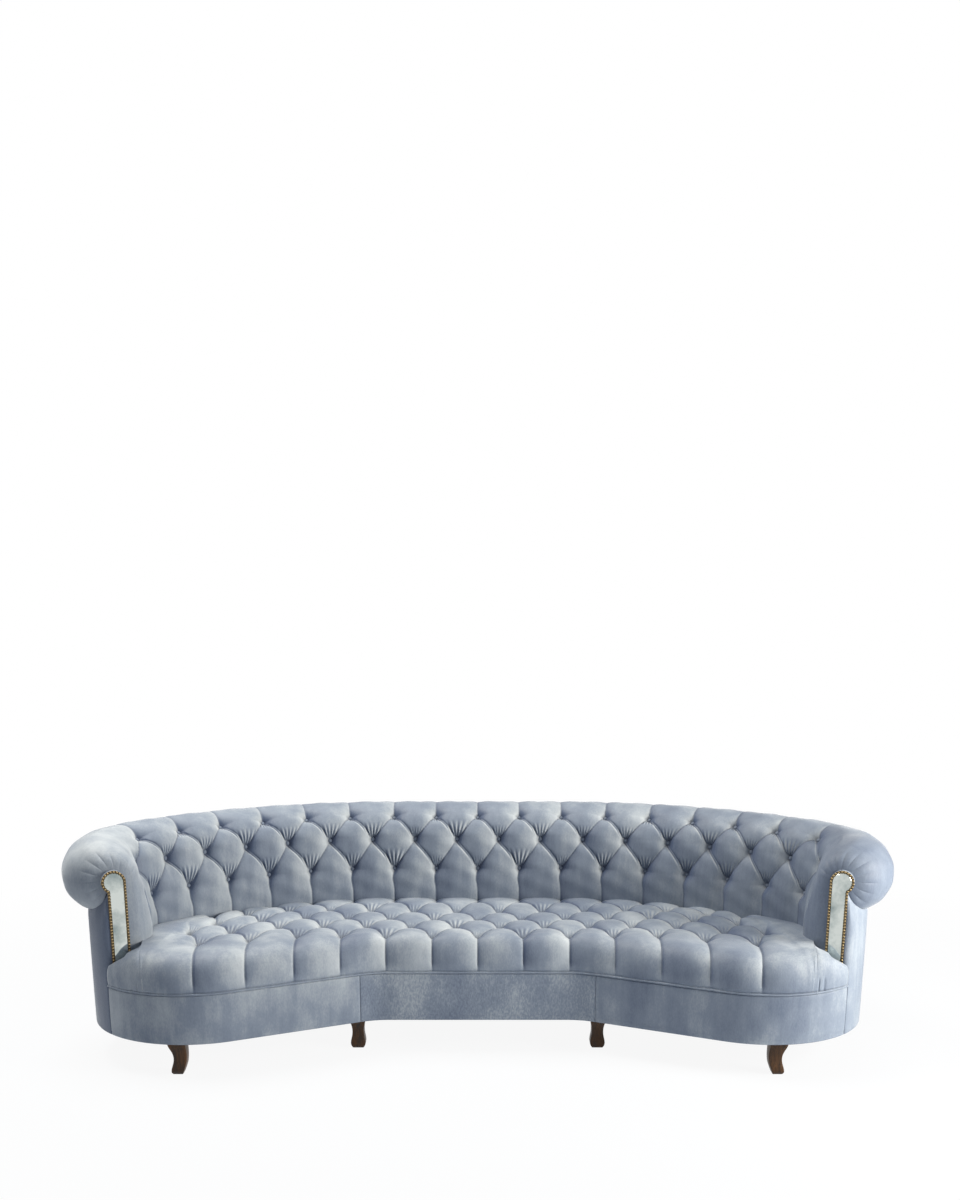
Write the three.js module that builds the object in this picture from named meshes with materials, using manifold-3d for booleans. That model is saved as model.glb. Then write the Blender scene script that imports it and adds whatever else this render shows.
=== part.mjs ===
// Curved tufted sofa with scroll arms: hardwood frame, diamond-tufted seat, back and arms,
// mirrored keyhole arm facings with nailhead trim, and eight sawn cabriole legs.
// Millimetres, +Z up, front towards -Y, origin on the floor under the middle of the sofa.
import * as THREE from 'three';
import Module from 'manifold-3d';
import { mergeVertices } from 'three/addons/utils/BufferGeometryUtils.js';

const wasm = await Module();
wasm.setup();

// Driving dimensions: the plan outline of the upholstered base, from the middle of the front.
const straightHalf = 340;      // straight middle of the front, to one side
const cornerRadius = 250;      // concave bend between the middle and a wing
const wingAngle = THREE.MathUtils.degToRad(26);
const wingRun = 510;           // straight stretch of a wing
const lobeRadius = 405;        // rounded end of the base under an arm
const backHalf = 320;          // straight middle of the back, to one side
const baseDepth = 870;         // front face to back face on the centre line
const armEnd = THREE.MathUtils.degToRad(135);   // where the arm stops on the lobe

// Driving dimensions: heights above the floor.
const baseBottom = 133;        // lower edge of the covers
const bandTop = 319.7;         // upper edge of the front band
const rollCentre = 712;        // axis of the scroll along arms and back
const rollRadius = 138;
const rollInset = 54;          // axis of the scroll, in from the outside wall

// Clearances.
const touch = 0.3;             // gap between pieces that touch
const weldReach = touch / 100; // points closer than this are one point

// Facets of each curved stretch, counted so that neighbours share their corners.
const facets = {
  backMiddle: 22, backSide: 16, armStart: 4, armBend: 8, shoulder: 6,
  face: 3, rows: 4, roll: 6, corner: 4, lobe: 9, nose: 3, cord: 8, keyhole: 14, nail: 6, leg: 4,
};

// Frame of sawn and jointed hardwood.
const frame = {
  coverThickness: 12,          // padded outside cover
  railWidth: 45,
  railBottom: 134.5,
  railTop: 284,
  topRailBottom: 540,
  topRailTop: 640,
  postLength: 70,              // along the rail
  crossRailWidth: 40,
  crossRailHeight: 90,
};

// Webbing over the rails, and the bottom cloth under them.
const cloth = { thickness: 1.2 };
const web = { thickness: 3, bearing: 12, frontInset: 14, postInset: 68 };

// Upholstery of arms and back.
const pad = {
  faceInset: 210,              // inner face at seat level, in from the outside wall
  footHeight: 430,             // where the inner face meets the seat
  bottom: frame.railTop + web.thickness + 2 * touch,
  faceSwell: 10,               // how far the inner face swells between seat and roll
  woodClearance: 2,            // wadding room between padding and rails
  lipDrop: 3,                  // open joint under the scroll, above the outside cover
};

// Diamond tufting: columns along the sofa, rows across the cover.
const tuft = {
  backPitch: 177,              // between columns, measured along the button line
  buttonLine: 190,             // inset of the line on which columns are stepped
  firstRow: 145,               // lowest back buttons, up the face from the seat
  rowPitch: 122,
  depth: 34,                   // how far a button pulls the cover in
  pleatShare: 0.42,            // how deep a pleat is beside its button
  roundShare: 0.62,            // how full each diamond is
  lastRow: 2,                  // rows count from 0
  lastColumn: 9.15,            // pleats fade out beyond it, towards the arm facing
  backSplit: 2.75,             // column where the middle of the back is parted from its sides
  armSplit: 6.75,              // column where the sides are parted from the arms
};

// Welt along the top of the front band.
const welt = { radius: 4.6, inset: 3 };
const weltHeight = bandTop + touch + welt.radius;

// Seat pad.
const cushion = {
  crown: 470,                  // highest part of the seat
  bottom: frame.railTop + web.thickness + 2 * touch,
  ledge: weltHeight + welt.radius + touch,   // underside of the part that stands over the welt
  ledgeInset: 15,              // front of the part that sits behind the band
  backGap: 4,                  // from the foot of the back padding
  facingGap: 10,               // from the trim on the arm facing
  frontPitch: 173,             // column spacing along the front edge at the middle
  frontPitchGain: 1.5,         // and how much it widens with each column
  bow: 35,                     // outward bow of a column line in the wings
  rowStart: 85,                // first row of buttons behind the front edge
  rowPitch: 120,
  rowPitchGain: 22,            // extra row spacing in the wings
  wingShift: 115,              // how far the first row comes forward in the wings
  backDrop: 22,                // how far the crown falls where it meets the back
  noseReach: 110,              // depth of the rounded front edge
  endCrown: 400,               // crown at the outer edge of the arm facing
  depth: 34,
  lastRow: 4,                  // rows count from 0, at the front
  wingColumn: 6,               // column where a wing's own row spacing is reached
  shiftColumn: 4,              // column where the first row begins to come forward
  fadeColumn: 6.5,             // column where the tufting begins to fade
  plainColumn: 6.9,            // and where it is gone
};

// Arm facing: keyhole board with a mirror and a nailhead strip.
const facing = {
  headRadius: 44,
  postOuter: 16,               // edges of the post behind it, from the axis of the head
  postInner: 10,
  outerEdge: 24,               // outer edge of the column from the axis of the head
  bottom: 336,
  turn: THREE.MathUtils.degToRad(20),
  boardThickness: 18,
  mirrorThickness: 4,
  stripWidth: 9,
  stripThickness: 1.6,
  nailRadius: 4.3,
  nailHeight: 3,
  nailPitch: 10.4,
};

// Sawn cabriole legs: the side profile leans in at the ankle and kicks out at the toe.
const leg = {
  height: baseBottom - touch,
  top: 64,
  ankle: 45,
  foot: 58,
  sole: 42,
  lean: 20,
  inset: 75,                   // from the covers to the middle of the leg
};

// Colours from the photograph.
const velvet = new THREE.Color(0x8494a6);
const velvetMaterial = (shade) => new THREE.MeshStandardMaterial({
  color: velvet.clone().multiplyScalar(shade), roughness: 0.75, metalness: 0,
});
const hardwood = () => new THREE.MeshStandardMaterial({ color: 0xb99c74, roughness: 0.7, metalness: 0 });
const espresso = () => new THREE.MeshStandardMaterial({ color: 0x33241d, roughness: 0.35, metalness: 0 });
const silvered = () => new THREE.MeshStandardMaterial({ color: 0xd9dfe0, roughness: 0.05, metalness: 1 });
const antiqueBrass = () => new THREE.MeshStandardMaterial(
  { color: 0x7d6238, roughness: 0.35, metalness: 1 });
const webbing = () => new THREE.MeshStandardMaterial({ color: 0x8d7f66, roughness: 0.9, metalness: 0 });
const cambric = () => new THREE.MeshStandardMaterial({ color: 0x1d1d1f, roughness: 0.95, metalness: 0 });

const sofa = new THREE.Group();

// Adds one named piece to the sofa.
function addPiece(name, geometry, material) {
  const mesh = new THREE.Mesh(geometry, material);
  mesh.name = name;
  sofa.add(mesh);
  return mesh;
}

// Plan geometry. A side is 1 on the right (+X) and -1 on the left; angles are measured from +Y
// towards the outside, so that the outward normal at angle t is (sin t, cos t).
const cornerEnd = {
  x: straightHalf + cornerRadius * Math.sin(wingAngle),
  y: -cornerRadius * (1 - Math.cos(wingAngle)),
};
const lobe = {
  x: cornerEnd.x + wingRun * Math.cos(wingAngle) + lobeRadius * Math.sin(wingAngle),
  y: cornerEnd.y - wingRun * Math.sin(wingAngle) + lobeRadius * Math.cos(wingAngle),
};
// The back arc touches the straight back and the lobe, which fixes its radius.
const reachX = lobe.x - backHalf;
const reachY = baseDepth - lobe.y;
const backRadius = (reachX ** 2 + reachY ** 2 - lobeRadius ** 2) / (2 * (reachY - lobeRadius));
const backCentre = { x: backHalf, y: baseDepth - backRadius };
const joinAngle = Math.atan2(reachX, lobe.y - backCentre.y);

const polar = (centre, radius, angle) => new THREE.Vector2(
  centre.x + radius * Math.sin(angle), centre.y + radius * Math.cos(angle));

// Length along the button line where the back arc meets the lobe, and where the arm ends.
const joinLength = backHalf + (backRadius - tuft.buttonLine) * joinAngle;
const armLength = joinLength + (lobeRadius - tuft.buttonLine) * (armEnd - joinAngle);

// Angle of the outward normal at a length along the button line.
function wallAngle(length) {
  if (length <= backHalf) return 0;
  if (length <= joinLength) return (length - backHalf) / (backRadius - tuft.buttonLine);
  return joinAngle + (length - joinLength) / (lobeRadius - tuft.buttonLine);
}

// Point of the wall outline at a length along the button line, moved in by an inset.
function wallPoint(length, inset) {
  if (length <= backHalf) return new THREE.Vector2(length, baseDepth - inset);
  const angle = wallAngle(length);
  if (length <= joinLength) return polar(backCentre, backRadius - inset, angle);
  return polar(lobe, lobeRadius - inset, angle);
}

// Length along the front edge to the end of the corner, of the wing and of the lobe.
const cornerLength = straightHalf + cornerRadius * wingAngle;
const wingLength = cornerLength + wingRun;
const lobeStart = Math.PI + wingAngle;
const frontLength = wingLength + lobeRadius * (lobeStart - armEnd);

// Point of the front edge at a length from the middle, moved in by an inset.
function frontPoint(length, inset) {
  if (length <= straightHalf) return new THREE.Vector2(length, inset);
  if (length <= cornerLength) {
    const turn = (length - straightHalf) / cornerRadius;
    return polar({ x: straightHalf, y: -cornerRadius }, cornerRadius + inset, turn);
  }
  if (length <= wingLength) {
    const run = length - cornerLength;
    return new THREE.Vector2(
      cornerEnd.x + run * Math.cos(wingAngle) + inset * Math.sin(wingAngle),
      cornerEnd.y - run * Math.sin(wingAngle) + inset * Math.cos(wingAngle));
  }
  return polar(lobe, lobeRadius - inset, lobeStart - (length - wingLength) / lobeRadius);
}

const mirrorX = (point, side) => new THREE.Vector2(point.x * side, point.y);
const steps = (from, to, count) => Array.from({ length: count + 1 },
  (_, i) => from + (to - from) * i / count);
const mix = THREE.MathUtils.lerp;
const clamp = THREE.MathUtils.clamp;

// Turns an indexed list of points into a closed geometry whose faces point out.
function solid(points, triangles) {
  let volume = 0;
  for (const [a, b, c] of triangles) {
    volume += points[a].dot(points[b].clone().cross(points[c]));
  }
  const index = volume < 0 ? triangles.map(([a, b, c]) => [a, c, b]) : triangles;
  const geometry = new THREE.BufferGeometry();
  geometry.setAttribute('position', new THREE.Float32BufferAttribute(points.flatMap((p) => p.toArray()), 3));
  geometry.setIndex(index.flat());
  return geometry;
}

// Skins a row of closed sections, each an array of { flat, point }: the place in the section's
// own plane and in space. The ends are capped, and each quad is split along its deeper diagonal.
function loft(sections) {
  const size = sections[0].length;
  const points = sections.flatMap((section) => section.map((p) => p.point));
  const triangles = [];
  for (let i = 0; i + 1 < sections.length; i += 1) {
    for (let j = 0; j < size; j += 1) {
      const k = (j + 1) % size;
      const corners = [i * size + j, i * size + k, (i + 1) * size + k, (i + 1) * size + j];
      const pull = corners.map((c) => sections[Math.floor(c / size)][c % size].pull ?? 0);
      if (pull[0] + pull[2] >= pull[1] + pull[3]) {
        triangles.push([corners[0], corners[1], corners[2]], [corners[0], corners[2], corners[3]]);
      } else {
        triangles.push([corners[0], corners[1], corners[3]], [corners[1], corners[2], corners[3]]);
      }
    }
  }
  for (const [row, forward] of [[0, false], [sections.length - 1, true]]) {
    const outline = sections[row].map((p) => p.flat);
    const turn = Math.sign(THREE.ShapeUtils.area(outline));
    for (const [a, b, c] of THREE.ShapeUtils.triangulateShape(outline, [])) {
      const cap = Math.sign(THREE.ShapeUtils.area([outline[a], outline[b], outline[c]])) === turn;
      const base = row * size;
      triangles.push(cap === forward ? [base + a, base + b, base + c] : [base + a, base + c, base + b]);
    }
  }
  return solid(points, triangles);
}

const at = (plan, z) => new THREE.Vector3(plan.x, plan.y, z);

// A wall of rectangular section that follows a plan line between two insets and two heights.
// The heights may be functions of the place along the line.
function curvedWall(line, places, insets, bottom, top) {
  const level = (value, place) => (typeof value === 'function' ? value(place) : value);
  return loft(places.map((place) => {
    const corners = [[insets[0], level(bottom, place)], [insets[1], level(bottom, place)],
      [insets[1], level(top, place)], [insets[0], level(top, place)]];
    return corners.map(([inset, z]) => (
      { flat: new THREE.Vector2(inset, z), point: at(line(place, inset), z) }));
  }));
}

// Extrudes a plan outline between two heights.
function plate(outline, bottom, top, holes = []) {
  const shape = new THREE.Shape(outline);
  shape.holes = holes.map((hole) => new THREE.Path(hole));
  const geometry = new THREE.ExtrudeGeometry(shape, { depth: top - bottom, bevelEnabled: false });
  geometry.translate(0, 0, bottom);
  return geometry;
}

// Conversion to and from the boolean library.
function toManifold(geometry) {
  const bare = geometry.clone();
  bare.deleteAttribute('normal');
  bare.deleteAttribute('uv');
  const merged = mergeVertices(bare, weldReach);
  const corners = merged.index.array;
  const triangles = [];
  for (let i = 0; i < corners.length; i += 3) {
    const [a, b, c] = corners.slice(i, i + 3);
    if (a !== b && b !== c && c !== a) triangles.push(a, b, c);
  }
  return new wasm.Manifold(new wasm.Mesh({
    numProp: 3,
    vertProperties: new Float32Array(merged.attributes.position.array),
    triVerts: new Uint32Array(triangles),
  }));
}

function fromManifold(body) {
  const mesh = body.getMesh();
  const geometry = new THREE.BufferGeometry();
  geometry.setAttribute('position', new THREE.BufferAttribute(new Float32Array(mesh.vertProperties), 3));
  geometry.setIndex(new THREE.BufferAttribute(new Uint32Array(mesh.triVerts), 1));
  return geometry;
}

// How far a cover is pulled in, from 0 on top of a diamond to 1 under a button. Column and row
// count in button spacings, rows are staggered by half a column, and beyond the first and the
// last row the pleats run on straight.
function pull(column, row, lastRow) {
  const held = clamp(row, 0, lastRow);
  const left = Math.abs(Math.sin(Math.PI * (column - held / 2)));
  const right = Math.abs(Math.sin(Math.PI * (column + held / 2)));
  const full = (left * right) ** tuft.roundShare;
  const nearButton = (1 - Math.max(left, right)) * Math.exp(-2 * Math.abs(row - held));
  return (1 - full) * (tuft.pleatShare + (1 - tuft.pleatShare) * nearButton);
}
const fadeOut = (value, from, to) => 1 - clamp((value - from) / (to - from), 0, 1);

// The arm facing's own plane: a counts inwards from the axis of the head, depth counts forward.
const headPlan = polar(lobe, lobeRadius - rollInset, armEnd);
const facingAcross = new THREE.Vector2(-Math.cos(facing.turn), Math.sin(facing.turn));
const facingForward = new THREE.Vector2(-Math.sin(facing.turn), -Math.cos(facing.turn));
const facingPoint = (a, depth) => headPlan.clone()
  .addScaledVector(facingAcross, a).addScaledVector(facingForward, depth);
const neckAngle = Math.PI + Math.acos(facing.outerEdge / facing.headRadius);
const neckHeight = rollCentre + facing.headRadius * Math.sin(neckAngle);

// Profile of the inner cover, by length up from the seat: a face that leans back to the roll,
// then the roll itself, round to the wall behind. Gives inset, height and outward normal.
const faceLine = new THREE.Vector2(rollInset - pad.faceInset, rollCentre - pad.footHeight);
const faceLength = Math.sqrt(faceLine.lengthSq() - rollRadius ** 2);
const faceAngle = faceLine.angle() - Math.asin(rollRadius / faceLine.length());
const rollStart = faceAngle - Math.PI / 2;
const rollEnd = 2 * Math.PI - Math.acos(-rollInset / rollRadius);
const profileLength = faceLength + rollRadius * (rollEnd - rollStart);

function profile(length) {
  if (length <= faceLength) {
    const swell = pad.faceSwell * Math.sin(Math.PI * length / faceLength);
    return {
      inset: pad.faceInset + length * Math.cos(faceAngle) + swell * Math.sin(faceAngle),
      z: pad.footHeight + length * Math.sin(faceAngle) - swell * Math.cos(faceAngle),
      normal: new THREE.Vector2(Math.sin(faceAngle), -Math.cos(faceAngle)),
    };
  }
  const angle = rollStart + (length - faceLength) / rollRadius;
  return {
    inset: rollInset + rollRadius * Math.cos(angle),
    z: rollCentre + rollRadius * Math.sin(angle),
    normal: new THREE.Vector2(Math.cos(angle), Math.sin(angle)),
  };
}

// The same profile drawn in to the outline of the arm facing.
function facingProfile(length) {
  if (length <= faceLength) {
    return { a: facing.headRadius, z: mix(pad.footHeight, rollCentre, length / faceLength) };
  }
  const angle = neckAngle * (length - faceLength) / (profileLength - faceLength);
  return { a: facing.headRadius * Math.cos(angle), z: rollCentre + facing.headRadius * Math.sin(angle) };
}
const lipHeight = profile(profileLength).z;

// How far an arm section has been drawn in to the facing, with the round shoulder of a
// pleated scroll: 0 along the arm and 1 at its end.
const drawStart = THREE.MathUtils.degToRad(103);
const hiddenStart = THREE.MathUtils.degToRad(126);
function drawn(angle) {
  const share = clamp((angle - drawStart) / (armEnd - drawStart), 0, 1);
  return 1 - Math.sqrt(1 - share ** 2);
}

// Places along arms and back, as lengths on the button line. Every piece there uses the same
// places, so that the facets of neighbouring pieces run parallel.
const backSplit = tuft.backSplit * tuft.backPitch;
const armSplit = tuft.armSplit * tuft.backPitch;
const drawnLength = joinLength + (lobeRadius - tuft.buttonLine) * (drawStart - joinAngle);
const centrePlaces = steps(-backSplit, backSplit, facets.backMiddle);
const sidePlaces = steps(backSplit, armSplit, facets.backSide);
const armPlaces = [
  ...steps(armSplit, joinLength, facets.armStart),
  ...steps(joinLength, drawnLength, facets.armBend).slice(1),
  ...steps(0, Math.PI / 2, facets.shoulder).slice(1)
    .map((turn) => mix(drawnLength, armLength, Math.sin(turn))),
];
const everyOther = (places) => places.filter((_, i) => i % 2 === 0);
const gapAt = (places, ends = [true, true]) => places.map((place, i) => {
  if (i === 0 && ends[0]) return place + touch / 2;
  return i === places.length - 1 && ends[1] ? place - touch / 2 : place;
});
const backLine = (place, inset) => mirrorX(wallPoint(Math.abs(place), inset), Math.sign(place) || 1);

// Point of an arm section: the section turns about the axis of the roll from square to the
// wall into the plane of the facing, while it is drawn in from an inset to a facing place.
const facingSkew = armEnd - Math.PI / 2 - facing.turn;
function armPoint(place, inset, a, share) {
  const angle = wallAngle(place);
  const turned = clamp((angle - drawStart) / (armEnd - drawStart), 0, 1) * facingSkew;
  const heading = 3 * Math.PI / 2 - angle + turned;
  const inwards = new THREE.Vector2(Math.cos(heading), Math.sin(heading));
  return wallPoint(place, rollInset).addScaledVector(inwards, mix(inset - rollInset, a, share));
}

// Heights up the inner cover at which it is sampled, as lengths on the profile.
const rowLength = (row) => tuft.firstRow + row * tuft.rowPitch;
const coverLengths = [
  ...steps(0, rowLength(0), facets.face),
  ...steps(rowLength(0), rowLength(tuft.lastRow), facets.rows).slice(1),
  ...steps(rowLength(tuft.lastRow), profileLength, facets.roll).slice(1),
];

// One section of arm or back padding at a place along the button line.
function padSection(signedPlace) {
  const place = Math.abs(signedPlace);
  const column = place / tuft.backPitch;
  const angle = wallAngle(place);
  const share = drawn(angle);
  const hiddenShare = clamp((angle - hiddenStart) / (armEnd - hiddenStart), 0, 1);
  const spot = (inset, z, a, za, blend, rise = blend) => {
    const plan = mirrorX(armPoint(place, inset, a, blend), Math.sign(signedPlace) || 1);
    const height = mix(z, za, rise);
    return { flat: new THREE.Vector2(mix(inset - rollInset, a, blend), height), point: at(plan, height) };
  };
  const cover = coverLengths.map((length) => {
    const outer = profile(length);
    const end = facingProfile(length);
    const row = (length - tuft.firstRow) / tuft.rowPitch;
    const lastColumn = tuft.lastColumn - clamp(row, 0, tuft.lastRow) / 2;
    const tail = clamp((profileLength - length) / tuft.rowPitch, 0, 1);
    const faded = fadeOut(column, lastColumn, lastColumn + 1 / 2) * tail;
    const pulled = pull(column, row, tuft.lastRow) * faded;
    const sunk = tuft.depth * pulled;
    const inset = outer.inset - sunk * outer.normal.x;
    return { ...spot(inset, outer.z - sunk * outer.normal.y, end.a, end.z, share), pull: pulled };
  });
  const innerWood = frame.coverThickness + frame.railWidth + touch + pad.woodClearance;
  const outerWood = frame.coverThickness - pad.woodClearance;
  const overWood = frame.topRailTop + touch;
  const neckInset = facing.outerEdge - pad.woodClearance;
  const neckLip = neckHeight + pad.woodClearance;
  return [
    spot(innerWood, pad.bottom, facing.outerEdge, pad.bottom, hiddenShare),
    spot(pad.faceInset, pad.bottom, facing.headRadius, pad.bottom, share),
    ...cover,
    spot(outerWood, lipHeight, -neckInset, neckLip, hiddenShare, share),
    spot(outerWood, overWood, -neckInset, neckLip + pad.lipDrop, hiddenShare, share),
    spot(innerWood, overWood, facing.outerEdge, neckLip + pad.lipDrop, hiddenShare, share),
  ];
}

const mirrored = (places) => places.map((place) => -place).reverse();
addPiece('inside_back_middle', loft(gapAt(centrePlaces).map(padSection)), velvetMaterial(1));
for (const [side, places, arms] of [
  ['right', sidePlaces, armPlaces], ['left', mirrored(sidePlaces), mirrored(armPlaces)],
]) {
  const armEnds = side === 'right' ? [true, false] : [false, true];
  addPiece(`inside_back_${side}`, loft(gapAt(places).map(padSection)), velvetMaterial(1));
  addPiece(`inside_arm_${side}`, loft(gapAt(arms, armEnds).map(padSection)), velvetMaterial(1));
}

// Outside covers. Beside the facing their upper edge follows the underside of the scroll.
const coverInsets = [0, frame.coverThickness];
const coverTop = (place) => mix(lipHeight, neckHeight, drawn(wallAngle(Math.abs(place)))) - pad.lipDrop;
const outsideCover = (places) => curvedWall(backLine, places, coverInsets, baseBottom, coverTop);
for (const [name, places] of [
  ['outside_back_middle', everyOther(centrePlaces)],
  ['outside_back_right', everyOther(sidePlaces)],
  ['outside_back_left', everyOther(mirrored(sidePlaces))],
  ['outside_arm_right', armPlaces],
  ['outside_arm_left', mirrored(armPlaces)],
]) {
  addPiece(name, outsideCover(gapAt(places)), velvetMaterial(0.9));
}

// Hardwood rails under the covers of arms and back.
const railInsets = [frame.coverThickness + touch, frame.coverThickness + touch + frame.railWidth];
const topRailEnd = armPlaces.findIndex((place) => wallAngle(place) > hiddenStart) - 1;
const topRailPlaces = armPlaces.slice(0, topRailEnd);
for (const [name, places, topPlaces] of [
  ['back_middle', everyOther(centrePlaces), everyOther(centrePlaces)],
  ['back_right', everyOther(sidePlaces), everyOther(sidePlaces)],
  ['back_left', everyOther(mirrored(sidePlaces)), everyOther(mirrored(sidePlaces))],
  ['arm_right', armPlaces, topRailPlaces],
  ['arm_left', mirrored(armPlaces), mirrored(topRailPlaces)],
]) {
  const rail = (along, bottom, top) => curvedWall(backLine, gapAt(along), railInsets, bottom, top);
  addPiece(`base_rail_${name}`, rail(places, frame.railBottom, frame.railTop), hardwood());
  addPiece(`top_rail_${name}`, rail(topPlaces, frame.topRailBottom, frame.topRailTop), hardwood());
}

// Posts between the rails, each inside one facet of the rails that it joins.
const postInsets = [railInsets[0], railInsets[1] - web.bearing];
const postHeights = [frame.railTop + touch, frame.topRailBottom - touch];
const within = (line, from, to, share, inset) => line(from, inset).lerp(line(to, inset), share);
function postOutline(line, from, to) {
  const share = frame.postLength / line(from, 0).distanceTo(line(to, 0)) / 2;
  return [
    within(line, from, to, 1 / 2 - share, postInsets[0]),
    within(line, from, to, 1 / 2 + share, postInsets[0]),
    within(line, from, to, 1 / 2 + share, postInsets[1]),
    within(line, from, to, 1 / 2 - share, postInsets[1]),
  ];
}
const innerPost = everyOther(sidePlaces).slice(0, 2);
const outerPost = everyOther(sidePlaces).slice(-2);
for (const [side, sign] of [['right', 1], ['left', -1]]) {
  for (const [name, [from, to]] of [['inner', innerPost], ['outer', outerPost]]) {
    const outline = postOutline(backLine, sign * from, sign * to);
    addPiece(`back_post_${name}_${side}`, plate(outline, ...postHeights), hardwood());
  }
}

// Arm posts, bevelled to the turn of the facing that they carry.
for (const [side, sign] of [['right', 1], ['left', -1]]) {
  const rear = [railInsets[1] - 2 * pad.woodClearance, railInsets[0] + 4 * pad.woodClearance];
  const outline = [
    facingPoint(-facing.postOuter, -touch), facingPoint(facing.postInner, -touch),
    ...rear.map((inset) => polar(lobe, lobeRadius - inset, hiddenStart)),
  ].map((point) => mirrorX(point, sign));
  addPiece(`arm_post_${side}`, plate(outline, frame.railTop + touch, frame.topRailTop), hardwood());
}

// Front band, front rails and welt, along the front edge. Places are lengths from the middle.
const middleFront = [0, ...steps(straightHalf, cornerLength, facets.corner)];
const middlePlaces = [...mirrored(middleFront.slice(1)), ...middleFront];
const wingPlaces = [cornerLength, ...steps(wingLength, frontLength, facets.lobe)];
const frontLine = (place, inset) => mirrorX(frontPoint(Math.abs(place), inset), Math.sign(place) || 1);
for (const [side, places] of [
  ['middle', middlePlaces], ['right', wingPlaces], ['left', mirrored(wingPlaces)],
]) {
  const along = (insets, bottom, top) => curvedWall(frontLine, gapAt(places), insets, bottom, top);
  addPiece(`front_band_${side}`, along(coverInsets, baseBottom, bandTop), velvetMaterial(0.95));
  addPiece(`front_rail_${side}`, along(railInsets, frame.railBottom, frame.railTop), hardwood());
}

function ringSection(line, place, inset, z, radius, sides) {
  return steps(0, 2 * Math.PI, sides).slice(1).map((turn) => {
    const flat = new THREE.Vector2(inset + radius * Math.cos(turn), z + radius * Math.sin(turn));
    return { flat, point: at(line(place, flat.x), flat.y) };
  });
}
const weltPlaces = [...mirrored(wingPlaces), ...middlePlaces.slice(1, -1), ...wingPlaces];
const weltSection = (place) => ringSection(
  frontLine, place, welt.inset, weltHeight, welt.radius, facets.cord);
addPiece('seat_welt', loft(gapAt(weltPlaces).map(weltSection)), velvetMaterial(1.1));

// Cross rails between the front and the back rails, each end inside one facet of its rail.
const sideHalf = everyOther(sidePlaces);
const innerShares = [0.75, 0.75];                // of the facets of front and back rail
const outerShares = [0.72, 0.3];
const crossSpots = [
  { name: 'inner', front: [0, backHalf], back: [0, backHalf], shares: innerShares },
  { name: 'outer', front: [cornerLength, wingLength], back: sideHalf.slice(3, 5), shares: outerShares },
];
for (const [side, sign] of [['right', 1], ['left', -1]]) {
  for (const { name, front, back, shares } of crossSpots) {
    const reach = railInsets[1] + touch;
    const corners = (line, [from, to], share) => {
      const width = frame.crossRailWidth / line(sign * from, reach).distanceTo(line(sign * to, reach)) / 2;
      return [share - width, share + width].map((s) => within(line, sign * from, sign * to, s, reach));
    };
    const [a, b] = corners(frontLine, front, shares[0]);
    const [c, d] = corners(backLine, back, shares[1]);
    const bottom = frame.railTop - frame.crossRailHeight;
    addPiece(`cross_rail_${name}_${side}`, plate([a, b, d, c], bottom, frame.railTop), hardwood());
  }
}

// Webbing, stretched over the rails in three areas that end at the inner cross rails' line.
const webInset = railInsets[1] - web.bearing + touch;
const webPlan = (places, line, inset) => places.map((place) => line(place, inset));
const webHeights = [frame.railTop + touch, frame.railTop + touch + web.thickness];
const webBack = everyOther(centrePlaces).filter((place) => Math.abs(place) < cornerEnd.x);
const webMiddle = [
  ...webPlan(middlePlaces, frontLine, web.frontInset), ...webPlan(webBack, backLine, webInset).reverse(),
];
addPiece('webbing_middle', plate(webMiddle, ...webHeights), webbing());
const webShare = 0.8;                            // of the lobe's front that the webbing covers
const wingWebPlaces = wingPlaces.filter((place) => place < mix(wingLength, frontLength, webShare));
const armWebPlaces = armPlaces.slice(0, topRailEnd - 1);
const wingBack = [...everyOther(sidePlaces), ...armWebPlaces.slice(1)];
for (const [side, sign] of [['right', 1], ['left', -1]]) {
  const [start, ...onward] = wingWebPlaces.map((place) => frontPoint(place, web.frontInset));
  const outline = [
    start.add(new THREE.Vector2(touch, 0)),
    ...onward,
    polar(lobe, lobeRadius - web.postInset, armEnd),
    ...webPlan([...wingBack].reverse(), wallPoint, webInset),
  ].map((point) => mirrorX(point, sign));
  addPiece(`webbing_${side}`, plate(outline, ...webHeights), webbing());
}

// Bottom cloth, inside the lower edge of the covers.
const backPlaces = centrePlaces.filter((place) => place >= 0);
const allBack = [...backPlaces, ...sidePlaces.slice(1), ...armPlaces.slice(1)];
const clothHalf = [
  ...webPlan([...middleFront, ...wingPlaces.slice(1)], frontPoint, railInsets[0] + pad.woodClearance),
  ...webPlan(allBack.slice(0, -1).reverse(), wallPoint, railInsets[0] + pad.woodClearance),
];
for (const [side, sign] of [['right', 1], ['left', -1]]) {
  const outline = clothHalf.map((point) => new THREE.Vector2(sign * Math.max(point.x, touch), point.y));
  addPiece(`bottom_cloth_${side}`, plate(outline, baseBottom, baseBottom + cloth.thickness), cambric());
}

// Seat pad. A column line runs from the front edge back to the foot of the inner cover.
// Beyond fanStart the lines fan round the arm and across the front of its facing.
const fanStart = armPlaces[1] / tuft.backPitch;
const lastSeatColumn = fanStart + 3 / 4;
const fanBunching = 6;                           // keeps the lines clear of the arm's inner swell
const seatFrontLength = (column) => column * (cushion.frontPitch + cushion.frontPitchGain * column);
const fanFrontEnd = frontLength - cushion.facingGap;
const trimFront = facing.boardThickness + facing.stripThickness + facing.nailHeight + cushion.facingGap;
const fanPath = [
  ...armPlaces.slice(1).map((place) => armPoint(place, pad.faceInset + cushion.backGap,
    facing.headRadius + 2 * cushion.backGap, drawn(wallAngle(place)))),
  facingPoint(facing.headRadius + 2 * cushion.backGap, trimFront),
  facingPoint(-facing.outerEdge / 2, trimFront),
];

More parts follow.
